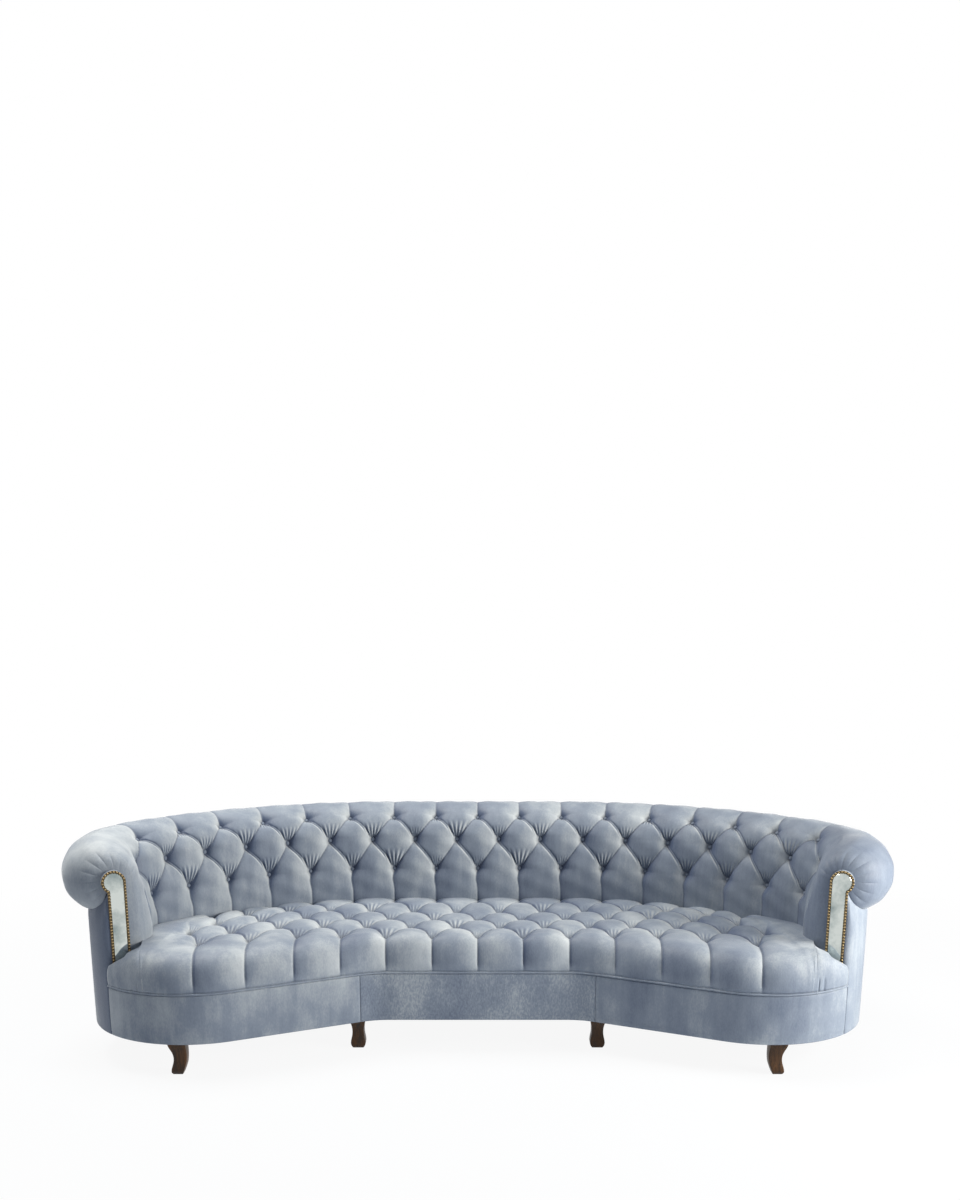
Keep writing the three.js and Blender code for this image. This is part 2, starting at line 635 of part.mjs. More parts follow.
// Columns of the fan, one for each corner of the path, spaced as the corners are.
const fanRuns = fanPath.map((_, i) => fanPath.slice(1, i + 1)
  .reduce((sum, point, j) => sum + point.distanceTo(fanPath[j]), 0));
const fanColumns = fanRuns.map((run) => mix(fanStart, lastSeatColumn, run / fanRuns.at(-1)));

function seatBack(column) {
  const corner = fanColumns.indexOf(column);
  if (corner >= 0) return fanPath[corner].clone();
  return wallPoint(column * tuft.backPitch, pad.faceInset + cushion.backGap);
}

function seatFront(column, inset) {
  if (column <= fanStart) return frontPoint(seatFrontLength(column), inset);
  const share = ((column - fanStart) / (lastSeatColumn - fanStart)) ** fanBunching;
  return frontPoint(mix(seatFrontLength(fanStart), fanFrontEnd, share), inset);
}

const smooth = (value, from, to) => THREE.MathUtils.smoothstep(value, from, to);
const rowLevels = steps(0, cushion.lastRow, 2 * cushion.lastRow);
const noseTurns = steps(0, Math.PI / 2, facets.nose);
const crowdShare = 0.03;                         // spacing of rows that find no room before the back
const roomyRows = 3;                             // rows of room from which crowding is at its least
const noseShare = 0.8;                           // of the way to the first row of buttons
const noseFullness = 0.8;                        // exponent of the rounded front edge

function seatSection(signedColumn) {
  const column = Math.abs(signedColumn);
  const front = seatFront(column, 0);
  const back = seatBack(column);
  const depth = front.distanceTo(back);
  const forward = back.clone().sub(front).divideScalar(depth);
  const sideways = new THREE.Vector2(forward.y, -forward.x);
  const wingShare = clamp(column / cushion.wingColumn, 0, 1);
  const pitch = cushion.rowPitch + cushion.rowPitchGain * wingShare;
  const shifted = smooth(column, cushion.shiftColumn, cushion.wingColumn);
  const rowOneY = cushion.rowStart - cushion.wingShift * shifted;
  const rowOne = Math.min(rowOneY - front.y, depth / 2);
  const rowsToBack = (depth - rowOne) / pitch;
  const crowd = mix(1 / rowLevels.length, crowdShare, clamp(rowsToBack / roomyRows, 0, 1));
  const crown = mix(cushion.crown, cushion.endCrown, smooth(column, cushion.fadeColumn, lastSeatColumn));
  const reach = Math.min(noseShare * rowOne, cushion.noseReach);
  const bowed = cushion.bow * wingShare ** 4 * fadeOut(column, cushion.wingColumn, fanStart);
  const bow = (run) => bowed * Math.sin(Math.PI * run / depth);
  const levels = rowLevels.map((row, i) => {
    const limit = rowsToBack * (1 - crowd * (rowLevels.length - i));
    return rowOne + Math.min(row, limit) * pitch;
  });
  const places = [
    ...noseTurns.map((turn) => ({
      run: reach * (1 - Math.cos(turn) ** noseFullness),
      z: mix(cushion.ledge, crown, Math.sin(turn) ** noseFullness),
      lean: Math.cos(turn),
    })),
    { run: (reach + rowOne) / 2, z: crown, lean: 0 },
    ...levels.map((run) => ({ run, z: crown, lean: 0 })),
    { run: depth, z: crown, lean: 0 },
  ];
  const spot = (run, z) => {
    const plan = front.clone().addScaledVector(forward, run).addScaledVector(sideways, bow(run));
    return { flat: new THREE.Vector2(run, z), point: at(mirrorX(plan, Math.sign(signedColumn) || 1), z) };
  };
  const atBack = places.length - 1;
  const surface = places.map(({ run, z, lean }, i) => {
    const row = (run - rowOne) / pitch;
    const held = i === 0 || i === atBack ? 0 : 1;
    const faded = fadeOut(column, cushion.fadeColumn, cushion.plainColumn) * held;
    const pulled = pull(column, row, cushion.lastRow) * faded;
    const sunk = cushion.depth * pulled;
    const drop = cushion.backDrop * smooth(run, Math.max(depth - pitch, depth / 2), depth);
    return { ...spot(run + sunk * lean, z - sunk * Math.sqrt(1 - lean ** 2) - drop), pull: pulled };
  });
  const lift = fadeOut(depth, 4 * cushion.ledgeInset, 8 * cushion.ledgeInset);
  const bottom = mix(cushion.bottom, cushion.ledge + 2 * welt.radius, lift);
  const inset = Math.min(cushion.ledgeInset, depth / 3);
  const behindBand = (z) => ({
    flat: new THREE.Vector2(inset, z),
    point: at(mirrorX(seatFront(column, inset), Math.sign(signedColumn) || 1), z),
  });
  return [...surface, spot(depth, bottom), behindBand(bottom), behindBand(cushion.ledge)];
}
const seatColumns = [...sidePlaces.map((place) => place / tuft.backPitch), ...fanColumns];
const narrowed = (columns, ends) => columns.map((column, i) => {
  const gap = touch / tuft.backPitch / 2;
  if (i === 0 && ends[0]) return column + gap;
  return i === columns.length - 1 && ends[1] ? column - gap : column;
});
for (const [side, columns, ends] of [
  ['middle', steps(-tuft.backSplit, tuft.backSplit, facets.backMiddle), [true, true]],
  ['right', seatColumns, [true, false]],
  ['left', mirrored(seatColumns), [false, true]],
]) {
  addPiece(`seat_pad_${side}`, loft(narrowed(columns, ends).map(seatSection)), velvetMaterial(1));
}

// Keyhole outline of an arm facing, drawn in by an inset, with outwards along +X.
function keyhole(inset) {
  const radius = facing.headRadius - inset;
  const outer = facing.outerEdge - inset;
  const path = new THREE.Path();
  path.moveTo(outer, facing.bottom + inset);
  path.lineTo(-radius, facing.bottom + inset);
  path.lineTo(-radius, rollCentre);
  path.absarc(0, rollCentre, radius, Math.PI, -Math.acos(outer / radius), true);
  path.closePath();
  return path;
}

// The outline's points, without the last one, which repeats the first.
const keyholePoints = (inset) => keyhole(inset).getPoints(facets.keyhole).slice(0, -1);

// One layer of a facing, between two depths in front of the arm padding.
function facingLayer(inset, back, front, holes = []) {
  return plate(keyholePoints(inset), back, front, holes).rotateX(Math.PI / 2);
}

// Nailhead trim: a thin strip with a row of domed nails along its middle.
function nailTrim(back) {
  const front = back + facing.stripThickness;
  const strip = facingLayer(0, back, front, [keyholePoints(facing.stripWidth).reverse()]);
  const row = keyhole(facing.stripWidth / 2);
  const count = Math.round(row.getLength() / facing.nailPitch);
  const sunk = facing.stripThickness / 2;
  const dome = new THREE.LatheGeometry([
    new THREE.Vector2(0, -sunk), new THREE.Vector2(facing.nailRadius, -sunk),
    new THREE.Vector2(facing.nailRadius, 0), new THREE.Vector2(facing.nailRadius / 2, facing.nailHeight),
    new THREE.Vector2(0, facing.nailHeight),
  ], facets.nail).rotateX(Math.PI);
  const nails = row.getSpacedPoints(count).slice(1)
    .map((spot) => toManifold(dome.clone().translate(spot.x, -front, spot.y)));
  return fromManifold(wasm.Manifold.union([toManifold(strip), ...nails]));
}

for (const [side, sign] of [['right', 1], ['left', -1]]) {
  const group = new THREE.Group();
  group.position.set(sign * headPlan.x, headPlan.y, 0);
  group.rotation.z = -sign * facing.turn;
  group.scale.x = sign;
  const onBoard = facing.boardThickness + 2 * touch;
  const boardLayer = facingLayer(0, touch, facing.boardThickness + touch);
  const board = addPiece(`arm_facing_${side}`, boardLayer, velvetMaterial(0.9));
  const mirror = addPiece(`facing_mirror_${side}`,
    facingLayer(facing.stripWidth + touch, onBoard, onBoard + facing.mirrorThickness), silvered());
  const trim = addPiece(`nailhead_trim_${side}`, nailTrim(onBoard), antiqueBrass());
  group.add(board, mirror, trim);
  sofa.add(group);
}

// Legs. The side profile is cut by the front profile, as a leg is sawn from a square blank.
// The shares say how high on the leg each curve starts, bends and ends.
const calfShares = [0.75, 0.5, 0.25];
const toeShares = [0.06, 0.2, 0.3, 0.45];
const shinShares = [0.7, 0.75];
const ankleShares = [0.8, 0.75, 0.5];
const footShares = [0.3, 0.3, 0.12];
function sawnLeg() {
  const half = leg.top / 2;
  const toe = half - leg.lean / 2;
  const level = (share) => leg.height * share;
  const side = new THREE.Shape();
  side.moveTo(-half, leg.height);
  side.bezierCurveTo(-half - leg.lean / 4, level(calfShares[0]), -half - leg.lean / 2, level(calfShares[1]),
    -half, level(calfShares[2]));
  side.lineTo(toe - leg.sole, 0);
  side.lineTo(toe - leg.sole / 8, 0);
  side.lineTo(toe, level(toeShares[0]));
  side.bezierCurveTo(toe, level(toeShares[1]), half - leg.lean, level(toeShares[2]),
    half - leg.lean, level(toeShares[3]));
  side.bezierCurveTo(half - leg.lean, level(shinShares[0]), half, level(shinShares[1]), half, leg.height);
  side.closePath();
  const front = new THREE.Shape();
  front.moveTo(0, leg.height);
  front.lineTo(half, leg.height);
  front.bezierCurveTo(half, level(ankleShares[0]), leg.ankle / 2, level(ankleShares[1]),
    leg.ankle / 2, level(ankleShares[2]));
  front.bezierCurveTo(leg.ankle / 2, level(footShares[0]), leg.foot / 2, level(footShares[1]),
    leg.foot / 2, level(footShares[2]));
  front.lineTo(leg.sole / 2, 0);
  front.lineTo(0, 0);
  const right = front.getPoints(facets.leg);
  const left = right.slice(1, -1).reverse().map((p) => new THREE.Vector2(-p.x, p.y));
  const width = 2 * leg.top;
  const blank = (points) => new THREE.ExtrudeGeometry(
    new THREE.Shape(points), { depth: width, bevelEnabled: false },
  ).translate(0, 0, -width / 2).rotateX(Math.PI / 2);
  const sideSolid = toManifold(blank(side.getPoints(facets.leg)));
  const frontSolid = toManifold(blank([...right, ...left]).rotateZ(Math.PI / 2));
  return fromManifold(sideSolid.intersect(frontSolid));
}

// Legs stand in from the covers; each toe points along its heading, measured from +X.
const legGeometry = sawnLeg();
const rearOuter = THREE.MathUtils.degToRad(50);
const lobeReach = lobeRadius - leg.inset;
const besideLobe = { x: lobe.x + leg.top / 2, y: lobe.y };
const legSpots = [
  { name: 'front_inner', plan: new THREE.Vector2(cornerEnd.x + leg.lean, leg.inset), heading: -Math.PI / 2 },
  { name: 'front_outer', plan: polar(besideLobe, lobeReach, Math.PI), heading: 0 },
  { name: 'rear_inner', plan: wallPoint(cornerLength, leg.inset), heading: Math.PI / 2 },
  { name: 'rear_outer', plan: polar(lobe, lobeReach, rearOuter), heading: Math.PI / 2 - rearOuter },
];
for (const [side, sign] of [['right', 1], ['left', -1]]) {
  for (const { name, plan, heading } of legSpots) {
    const mesh = addPiece(`leg_${name}_${side}`, legGeometry, espresso());
    mesh.position.set(sign * plan.x, plan.y, 0);
    mesh.scale.x = sign;
    mesh.rotation.z = sign * heading;
  }
}

// The origin is under the middle of the sofa's box.
const box = new THREE.Box3().setFromObject(sofa);
sofa.position.y = -(box.min.y + box.max.y) / 2;

export default sofa;
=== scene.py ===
"""Curved tufted sofa with scroll arms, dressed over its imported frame.

A horseshoe sofa in blue-grey velvet: diamond buttoning on seat, back and arms, scroll arms
with mirrored keyhole facings and nailhead trim, a plain front band under a piped welt, and
eight sawn cabriole legs. Lengths are metres, +Z is up and the front faces -Y.
"""

import logging
import math
from dataclasses import dataclass
from enum import Enum
from functools import cached_property
from typing import Callable, Iterable, Sequence

import bpy
import numpy as np
from mathutils import Matrix, Vector


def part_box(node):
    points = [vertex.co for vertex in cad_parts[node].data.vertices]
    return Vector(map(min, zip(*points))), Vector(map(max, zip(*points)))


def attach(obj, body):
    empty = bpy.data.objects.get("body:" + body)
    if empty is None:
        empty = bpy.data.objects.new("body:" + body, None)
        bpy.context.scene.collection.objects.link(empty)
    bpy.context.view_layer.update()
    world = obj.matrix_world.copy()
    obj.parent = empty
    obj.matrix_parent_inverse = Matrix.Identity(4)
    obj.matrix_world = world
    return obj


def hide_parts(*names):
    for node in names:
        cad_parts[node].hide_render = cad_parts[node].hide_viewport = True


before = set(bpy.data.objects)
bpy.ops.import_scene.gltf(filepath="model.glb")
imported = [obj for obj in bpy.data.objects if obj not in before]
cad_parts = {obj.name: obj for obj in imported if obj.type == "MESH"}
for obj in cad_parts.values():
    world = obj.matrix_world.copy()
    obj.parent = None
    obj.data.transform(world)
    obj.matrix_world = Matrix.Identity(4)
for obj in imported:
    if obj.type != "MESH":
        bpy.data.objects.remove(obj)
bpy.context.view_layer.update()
BODY = "root"
LOG = logging.getLogger("sofa")

Array = np.ndarray
Piece = bpy.types.Object
Material = bpy.types.Material
Socket = bpy.types.NodeSocket

WHITE = (1.0, 1.0, 1.0, 1.0)
HANDS = (("right", 1), ("left", -1))
LENGTHS = ("left", "middle", "right")
TOUCH = 0.0003  # room between pieces that rest on each other
BUTTON_PITCH = 0.177  # between the columns of back buttons
COVER_BOTTOM = 0.133  # lower edge of band and outside covers
COVER_THICKNESS = 0.012  # of band and outside covers, padding included
SEAT_BOTTOM = 0.2876  # underside of all padding, on the webbing
FACING_BOTTOM = 0.336  # lower edge of the facings


def smooth(value: Array, start: Array, stop: Array) -> Array:
    """Smooth step from 0 at start to 1 at stop."""
    share = np.clip((value - start) / (stop - start), 0.0, 1.0)
    return share * share * (3.0 - 2.0 * share)


def fade_out(value: Array, start: Array, stop: Array) -> Array:
    """Straight fall from 1 at start to 0 at stop."""
    return 1.0 - np.clip((value - start) / (stop - start), 0.0, 1.0)


def mix(first: Array, second: Array, share: Array) -> Array:
    """Value a share of the way from first to second."""
    return first + (second - first) * share


def ridge(value: Array, spot: float, width: float) -> Array:
    """Rounded ridge of height 1 at a spot, gone some two widths away."""
    return np.exp(-(((value - spot) / width) ** 2))


def line_length(x: Array, y: Array) -> Array:
    """Length along a line of points, from 0 at the first."""
    return np.concatenate([[0.0], np.cumsum(np.hypot(np.diff(x), np.diff(y)))])


@dataclass(frozen=True)
class SofaPlan:
    """Plan outline and sections of the sofa, as in the part's source.

    Places count along the button line from the middle of the back, and along the front edge
    from its middle. Both are negative on the left. Insets count in from the outline.
    """

    straight_half: float = 0.340
    corner_radius: float = 0.250
    wing_angle: float = math.radians(26)
    wing_run: float = 0.510
    lobe_radius: float = 0.405
    back_half: float = 0.320
    base_depth: float = 0.870
    arm_end: float = math.radians(135)
    button_line: float = 0.190
    roll_centre: float = 0.712
    roll_radius: float = 0.138
    roll_inset: float = 0.054
    face_inset: float = 0.210
    foot_height: float = 0.430
    face_swell: float = 0.010
    head_radius: float = 0.044
    outer_edge: float = 0.024
    facing_turn: float = math.radians(20)
    draw_start: float = math.radians(103)
    shoulder_power: float = 2.3

    @property
    def shift(self) -> float:
        """Frame Y of the front edge's middle, read from the back cover that the frame holds."""
        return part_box("outside_back_middle")[1].y - self.base_depth

    @property
    def corner_end(self) -> tuple[float, float]:
        """Plan point where the concave corner meets the wing."""
        return (
            self.straight_half + self.corner_radius * math.sin(self.wing_angle),
            -self.corner_radius * (1 - math.cos(self.wing_angle)),
        )

    @property
    def lobe(self) -> tuple[float, float]:
        """Centre of the rounded end under an arm."""
        x, y = self.corner_end
        sine, cosine = math.sin(self.wing_angle), math.cos(self.wing_angle)
        return (
            x + self.wing_run * cosine + self.lobe_radius * sine,
            y - self.wing_run * sine + self.lobe_radius * cosine,
        )

    @property
    def back_arc(self) -> tuple[float, float, float]:
        """Radius of the back's arc, its centre's Y and the angle where it meets the lobe."""
        reach_x = self.lobe[0] - self.back_half
        reach_y = self.base_depth - self.lobe[1]
        radius = (reach_x**2 + reach_y**2 - self.lobe_radius**2) / (
            2 * (reach_y - self.lobe_radius)
        )
        centre_y = self.base_depth - radius
        return radius, centre_y, math.atan2(reach_x, self.lobe[1] - centre_y)

    @property
    def join_length(self) -> float:
        """Place on the button line where the back's arc meets the lobe."""
        radius, _, angle = self.back_arc
        return self.back_half + (radius - self.button_line) * angle

    @property
    def arm_length(self) -> float:
        """Place on the button line where the arm ends at its facing."""
        turn = self.arm_end - self.back_arc[2]
        return self.join_length + (self.lobe_radius - self.button_line) * turn

    @property
    def front_lengths(self) -> tuple[float, float, float]:
        """Places along the front edge at the ends of corner, wing and lobe."""
        corner = self.straight_half + self.corner_radius * self.wing_angle
        wing = corner + self.wing_run
        lobe_turn = math.pi + self.wing_angle - self.arm_end
        return corner, wing, wing + self.lobe_radius * lobe_turn

    def wall_angle(self, place: Array) -> Array:
        """Angle from +Y of the wall's outward normal."""
        length = np.abs(place)
        radius, _, join_angle = self.back_arc
        on_arc = (length - self.back_half) / (radius - self.button_line)
        on_lobe = join_angle + (length - self.join_length) / (self.lobe_radius - self.button_line)
        angle = np.where(length <= self.join_length, on_arc, on_lobe)
        return np.where(length <= self.back_half, 0.0, angle)

    def wall(self, place: Array, inset: Array) -> tuple[Array, Array]:
        """Wall outline in plan.

        Args:
            place: Signed place on the button line.
            inset: How far in from the outline.

        Returns:
            Frame X and Y.
        """
        place, inset = np.broadcast_arrays(np.asarray(place, float), np.asarray(inset, float))
        length = np.abs(place)
        angle = self.wall_angle(place)
        radius, centre_y, _ = self.back_arc
        on_arc = length <= self.join_length
        reach = np.where(on_arc, radius, self.lobe_radius) - inset
        x = np.where(on_arc, self.back_half, self.lobe[0]) + reach * np.sin(angle)
        y = np.where(on_arc, centre_y, self.lobe[1]) + reach * np.cos(angle)
        straight = length <= self.back_half
        x = np.where(straight, length, x)
        y = np.where(straight, self.base_depth - inset, y)
        return np.where(place < 0, -x, x), y + self.shift

    def front(self, place: Array, inset: Array) -> tuple[Array, Array]:
        """Front edge in plan.

        Args:
            place: Signed place along the front edge.
            inset: How far in from the edge.

        Returns:
            Frame X and Y.
        """
        place, inset = np.broadcast_arrays(np.asarray(place, float), np.asarray(inset, float))
        length = np.abs(place)
        corner, wing, _ = self.front_lengths
        turn = (length - self.straight_half) / self.corner_radius
        corner_x = self.straight_half + (self.corner_radius + inset) * np.sin(turn)
        corner_y = -self.corner_radius + (self.corner_radius + inset) * np.cos(turn)
        run = length - corner
        sine, cosine = math.sin(self.wing_angle), math.cos(self.wing_angle)
        wing_x = self.corner_end[0] + run * cosine + inset * sine
        wing_y = self.corner_end[1] - run * sine + inset * cosine
        swing = math.pi + self.wing_angle - (length - wing) / self.lobe_radius
        lobe_x = self.lobe[0] + (self.lobe_radius - inset) * np.sin(swing)
        lobe_y = self.lobe[1] + (self.lobe_radius - inset) * np.cos(swing)
        stretch = [length <= self.straight_half, length <= corner, length <= wing]
        x = np.select(stretch, [length, corner_x, wing_x], lobe_x)
        y = np.select(stretch, [inset, corner_y, wing_y], lobe_y)
        return np.where(place < 0, -x, x), y + self.shift

    @property
    def head(self) -> tuple[float, float]:
        """Plan point of the scroll's axis at the right facing, in the frame."""
        reach = self.lobe_radius - self.roll_inset
        return (
            self.lobe[0] + reach * math.sin(self.arm_end),
            self.lobe[1] + reach * math.cos(self.arm_end) + self.shift,
        )

    def facing(self, across: Array, depth: Array) -> tuple[Array, Array]:
        """Place in the right facing's plane.

        Args:
            across: How far inwards from the scroll's axis.
            depth: How far forward of the plane.

        Returns:
            Frame X and Y.
        """
        sine, cosine = math.sin(self.facing_turn), math.cos(self.facing_turn)
        return (
            self.head[0] - across * cosine - depth * sine,
            self.head[1] + across * sine - depth * cosine,
        )

    def drawn(self, place: Array) -> Array:
        """How far an arm section is drawn in to its facing, from 0 to 1."""
        angle = self.wall_angle(place)
        share = np.clip((angle - self.draw_start) / (self.arm_end - self.draw_start), 0.0, 1.0)
        return 1.0 - (1.0 - share**self.shoulder_power) ** (1.0 / self.shoulder_power)

    def arm(self, place: Array, inset: Array, across: Array, share: Array) -> tuple[Array, Array]:
        """Frame X and Y of a section that turns from square to the wall into the facing.

        Args:
            place: Signed place on the button line.
            inset: Inset from the wall while nothing is drawn in.
            across: Place in the facing's plane once all is drawn in.
            share: How far the section is drawn in.

        Returns:
            Frame X and Y.
        """
        angle = self.wall_angle(place)
        skew = self.arm_end - math.pi / 2 - self.facing_turn
        turned = np.clip((angle - self.draw_start) / (self.arm_end - self.draw_start), 0.0, 1.0)
        heading = 3 * math.pi / 2 - angle + turned * skew
        reach = mix(inset - self.roll_inset, across, share)
        x, y = self.wall(np.abs(place), self.roll_inset)
        x, y = x + reach * np.cos(heading), y + reach * np.sin(heading)
        return np.where(place < 0, -x, x), y

    @property
    def face(self) -> tuple[float, float]:
        """Length and slope of the inner face, from the seat to where the roll begins."""
        run = (self.roll_inset - self.face_inset, self.roll_centre - self.foot_height)
        reach = math.hypot(*run)
        length = math.sqrt(reach**2 - self.roll_radius**2)
        return length, math.atan2(run[1], run[0]) - math.asin(self.roll_radius / reach)

    @property
    def roll_turn(self) -> tuple[float, float]:
        """Angles at which the roll begins at the face and ends at the wall behind."""
        end = 2 * math.pi - math.acos(-self.roll_inset / self.roll_radius)
        return self.face[1] - math.pi / 2, end

    @property
    def profile_length(self) -> float:
        """Length of the inner cover from the seat, over the roll, to the wall behind."""
        start, end = self.roll_turn
        return self.face[0] + self.roll_radius * (end - start)

    def profile(self, length: Array) -> tuple[Array, Array, Array, Array]:
        """Inner cover at a length up from the seat.

        Args:
            length: Length on the profile.

        Returns:
            Inset, height, and the outward normal's parts along them.
        """
        face_length, slope = self.face
        swell = self.face_swell * np.sin(math.pi * np.clip(length / face_length, 0.0, 1.0))
        angle = self.roll_turn[0] + (length - face_length) / self.roll_radius
        on_face = length <= face_length
        face_inset = self.face_inset + length * math.cos(slope) + swell * math.sin(slope)
        face_height = self.foot_height + length * math.sin(slope) - swell * math.cos(slope)
        roll_inset = self.roll_inset + self.roll_radius * np.cos(angle)
        roll_height = self.roll_centre + self.roll_radius * np.sin(angle)
        return (
            np.where(on_face, face_inset, roll_inset),
            np.where(on_face, face_height, roll_height),
            np.where(on_face, math.sin(slope), np.cos(angle)),
            np.where(on_face, -math.cos(slope), np.sin(angle)),
        )

    def facing_profile(self, length: Array) -> tuple[Array, Array]:
        """The same profile drawn in to the facing.

        Args:
            length: Length on the profile.

        Returns:
            Place across the facing's plane, and height.
        """
        face_length = self.face[0]
        neck = math.pi + math.acos(self.outer_edge / self.head_radius)
        share = np.clip(length / face_length, 0.0, 1.0)
        angle = neck * (length - face_length) / (self.profile_length - face_length)
        on_face = length <= face_length
        across = np.where(on_face, self.head_radius, self.head_radius * np.cos(angle))
        height = np.where(
            on_face,
            mix(self.foot_height, self.roll_centre, share),
            self.roll_centre + self.head_radius * np.sin(angle),
        )
        return across, height

    @property
    def lip_height(self) -> float:
        """Height at which the roll meets the wall behind."""
        return float(self.profile(np.array(self.profile_length))[1])

    @property
    def neck_height(self) -> float:
        """Height at which the keyhole's head meets its straight part."""
        return self.roll_centre - math.sqrt(self.head_radius**2 - self.outer_edge**2)


PLAN = SofaPlan()


def colour(code: str) -> tuple[float, float, float, float]:
    """Linear colour of a six-digit screen colour code.

    Args:
        code: The code, two digits each for red, green and blue.

    Returns:
        Red, green, blue and a full alpha.
    """
    parts = [int(code[i : i + 2], 16) / 255 for i in (0, 2, 4)]
    linear = [p / 12.92 if p <= 0.04045 else ((p + 0.055) / 1.055) ** 2.4 for p in parts]
    return (*linear, 1.0)


class Bench:
    """Workbench on which the nodes of one material or world are set out and joined."""

    def __init__(self, owner: Material | bpy.types.World) -> None:
        """Clear the owner's nodes."""
        owner.use_nodes = True
        owner.node_tree.nodes.clear()
        self.owner = owner

    @classmethod
    def named(cls, name: str) -> "Bench":
        """Bench of a new material of that name."""
        return cls(bpy.data.materials.new(name))

    @cached_property
    def place(self) -> Socket:
        """The piece's own coordinates."""
        return self.add("TexCoord").outputs["Object"]

    def add(self, kind: str, inputs: dict | None = None, **settings: object) -> bpy.types.Node:
        """Add a node.

        Args:
            kind: Its type, without the usual prefix.
            inputs: Values or sockets for its inputs, by name or number.
            settings: Its own properties.

        Returns:
            The node.
        """
        node = self.owner.node_tree.nodes.new("ShaderNode" + kind)
        for key, value in settings.items():
            setattr(node, key, value)
        for key, value in (inputs or {}).items():
            if isinstance(value, Socket):
                self.owner.node_tree.links.new(value, node.inputs[key])
            else:
                node.inputs[key].default_value = value
        return node

    def noise(self, scale: float, detail: float, stretch: Sequence[float] = (1, 1, 1)) -> Socket:
        """Noise over the piece's own coordinates, stretched along the axes."""
        where = self.add("Mapping", {"Vector": self.place, "Scale": stretch}).outputs[0]
        inputs = {"Vector": where, "Scale": scale, "Detail": detail}
        return self.add("TexNoise", inputs).outputs["Fac"]

    def point(self, name: str) -> Socket:
        """Value that the piece's own corners hold under a name."""
        return self.add("Attribute", attribute_name=name).outputs["Fac"]

    def spread(
        self, value: Socket, low: float, high: float, to: tuple[float, float] = (0.0, 1.0)
    ) -> Socket:
        """Stretch the range from low to high over a new one, cut off at its ends."""
        inputs = {"Value": value, "From Min": low, "From Max": high}
        return self.add("MapRange", inputs | {"To Min": to[0], "To Max": to[1]}).outputs["Result"]

    def blend(self, share: Socket | float, first: object, second: object) -> Socket:
        """Blend two colours by a share. They are the node's inputs 6 and 7, its output 2."""
        return self.add("Mix", {0: share, 6: first, 7: second}, data_type="RGBA").outputs[2]

    def reckon(self, operation: str, *values: Socket | float) -> Socket:
        """Reckon with values."""
        return self.add("Math", dict(enumerate(values)), operation=operation).outputs[0]

    def sum(self, first: Socket, second: Socket, share: float) -> Socket:
        """First value plus a share of the second."""
        return self.reckon("MULTIPLY_ADD", second, share, first)

    def seen_plainly(self) -> Socket:
        """1 for rays from the camera, off gloss and through glass, and 0 for all others."""
        path = self.add("LightPath").outputs
        straight = self.reckon("MAXIMUM", path["Is Camera Ray"], path["Is Glossy Ray"])
        return self.reckon("MAXIMUM", straight, path["Is Transmission Ray"])

    def bump(self, height: Socket, strength: float, distance: float) -> Socket:
        """Normal raised by a height."""
        inputs = {"Height": height, "Strength": strength, "Distance": distance}
        return self.add("Bump", inputs).outputs["Normal"]

    def surface(self, shader: bpy.types.Node) -> Material | bpy.types.World:
        """Send a shader to the owner's output, and return the owner."""
        kind = "OutputMaterial" if isinstance(self.owner, Material) else "OutputWorld"
        self.add(kind, {"Surface": shader.outputs[0]})
        return self.owner

    def finish(self, **inputs: object) -> Material:
        """Close the material with a surface shader whose sockets take these inputs."""
        named = {
            key.replace("_", " ").title().replace("Ior", "IOR"): value
            for key, value in inputs.items()
        }
        return self.surface(self.add("BsdfPrincipled", named))


class Nap(Enum):
    """How the velvet's pile lies: contrast of its patches, of its streaks and of its fleck."""

    COMBED = (0.22, 0.07, 0.07)
    BRUSHED = (0.42, 0.07, 0.09)
    CRUSHED = (0.34, 0.04, 0.22)


@dataclass(frozen=True)
class Velvet:
    """Blue-grey velvet, lighter where the pile lies down, with painted light and painted shade."""

    name: str
    nap: Nap = Nap.COMBED
    light: str = "b7bdc2"
    middle: str = "7b8594"
    deep: str = "4a566e"
    # Colour of the painted shade in folds, pits and seams.
    fold: str = "273148"
    sheen: str = "e4e7ea"
    # How strongly the painted light lightens or darkens the colour.
    turn: float = 0.60

    def material(self) -> Material:
        """Build the node material."""
        patches, streaks, fleck = self.nap.value
        bench = Bench.named(self.name)
        broad = bench.noise(5.5, 3.0, (1, 1, 0.7))
        streak = bench.noise(9.0, 5.0, (6, 6, 0.7))
        grain = bench.noise(210.0, 3.0, (1, 1, 0.45))
        nap_and_painted_light = bench.spread(broad, 0.34, 0.66, (0.5 - patches / 2, 0.5 + patches / 2))
        # Painted light: lighter where the cover faces +X, darker where it faces -X.
        nap_and_painted_light = bench.sum(nap_and_painted_light, bench.point("tilt"), self.turn)
        for marks, strength in ((streak, streaks), (grain, fleck)):
            nap_and_painted_light = bench.sum(nap_and_painted_light, bench.spread(marks, 0.35, 0.65, (-0.5, 0.5)), strength)
        ramp = bench.add("ValToRGB", {"Fac": nap_and_painted_light})
        for spot, code in enumerate((self.deep, self.light)):
            element = ramp.color_ramp.elements[spot]
            element.position, element.color = spot, colour(code)
        ramp.color_ramp.elements.new(0.5).color = colour(self.middle)
        # Painted shade: blends towards the dark shade colour in folds, pits and seams.
        crease = bench.spread(bench.point("fold"), 0.25, 1.0, (0.0, 0.85))
        pile = bench.sum(bench.noise(900.0, 2.0), grain, 0.8)
        return bench.finish(
            base_color=bench.blend(crease, ramp.outputs[0], colour(self.fold)),
            roughness=0.58,
            normal=bench.bump(pile, 0.28, 0.0009),
            sheen_weight=0.40,
            sheen_roughness=0.32,
            sheen_tint=colour(self.sheen),
            specular_ior_level=0.35,
        )


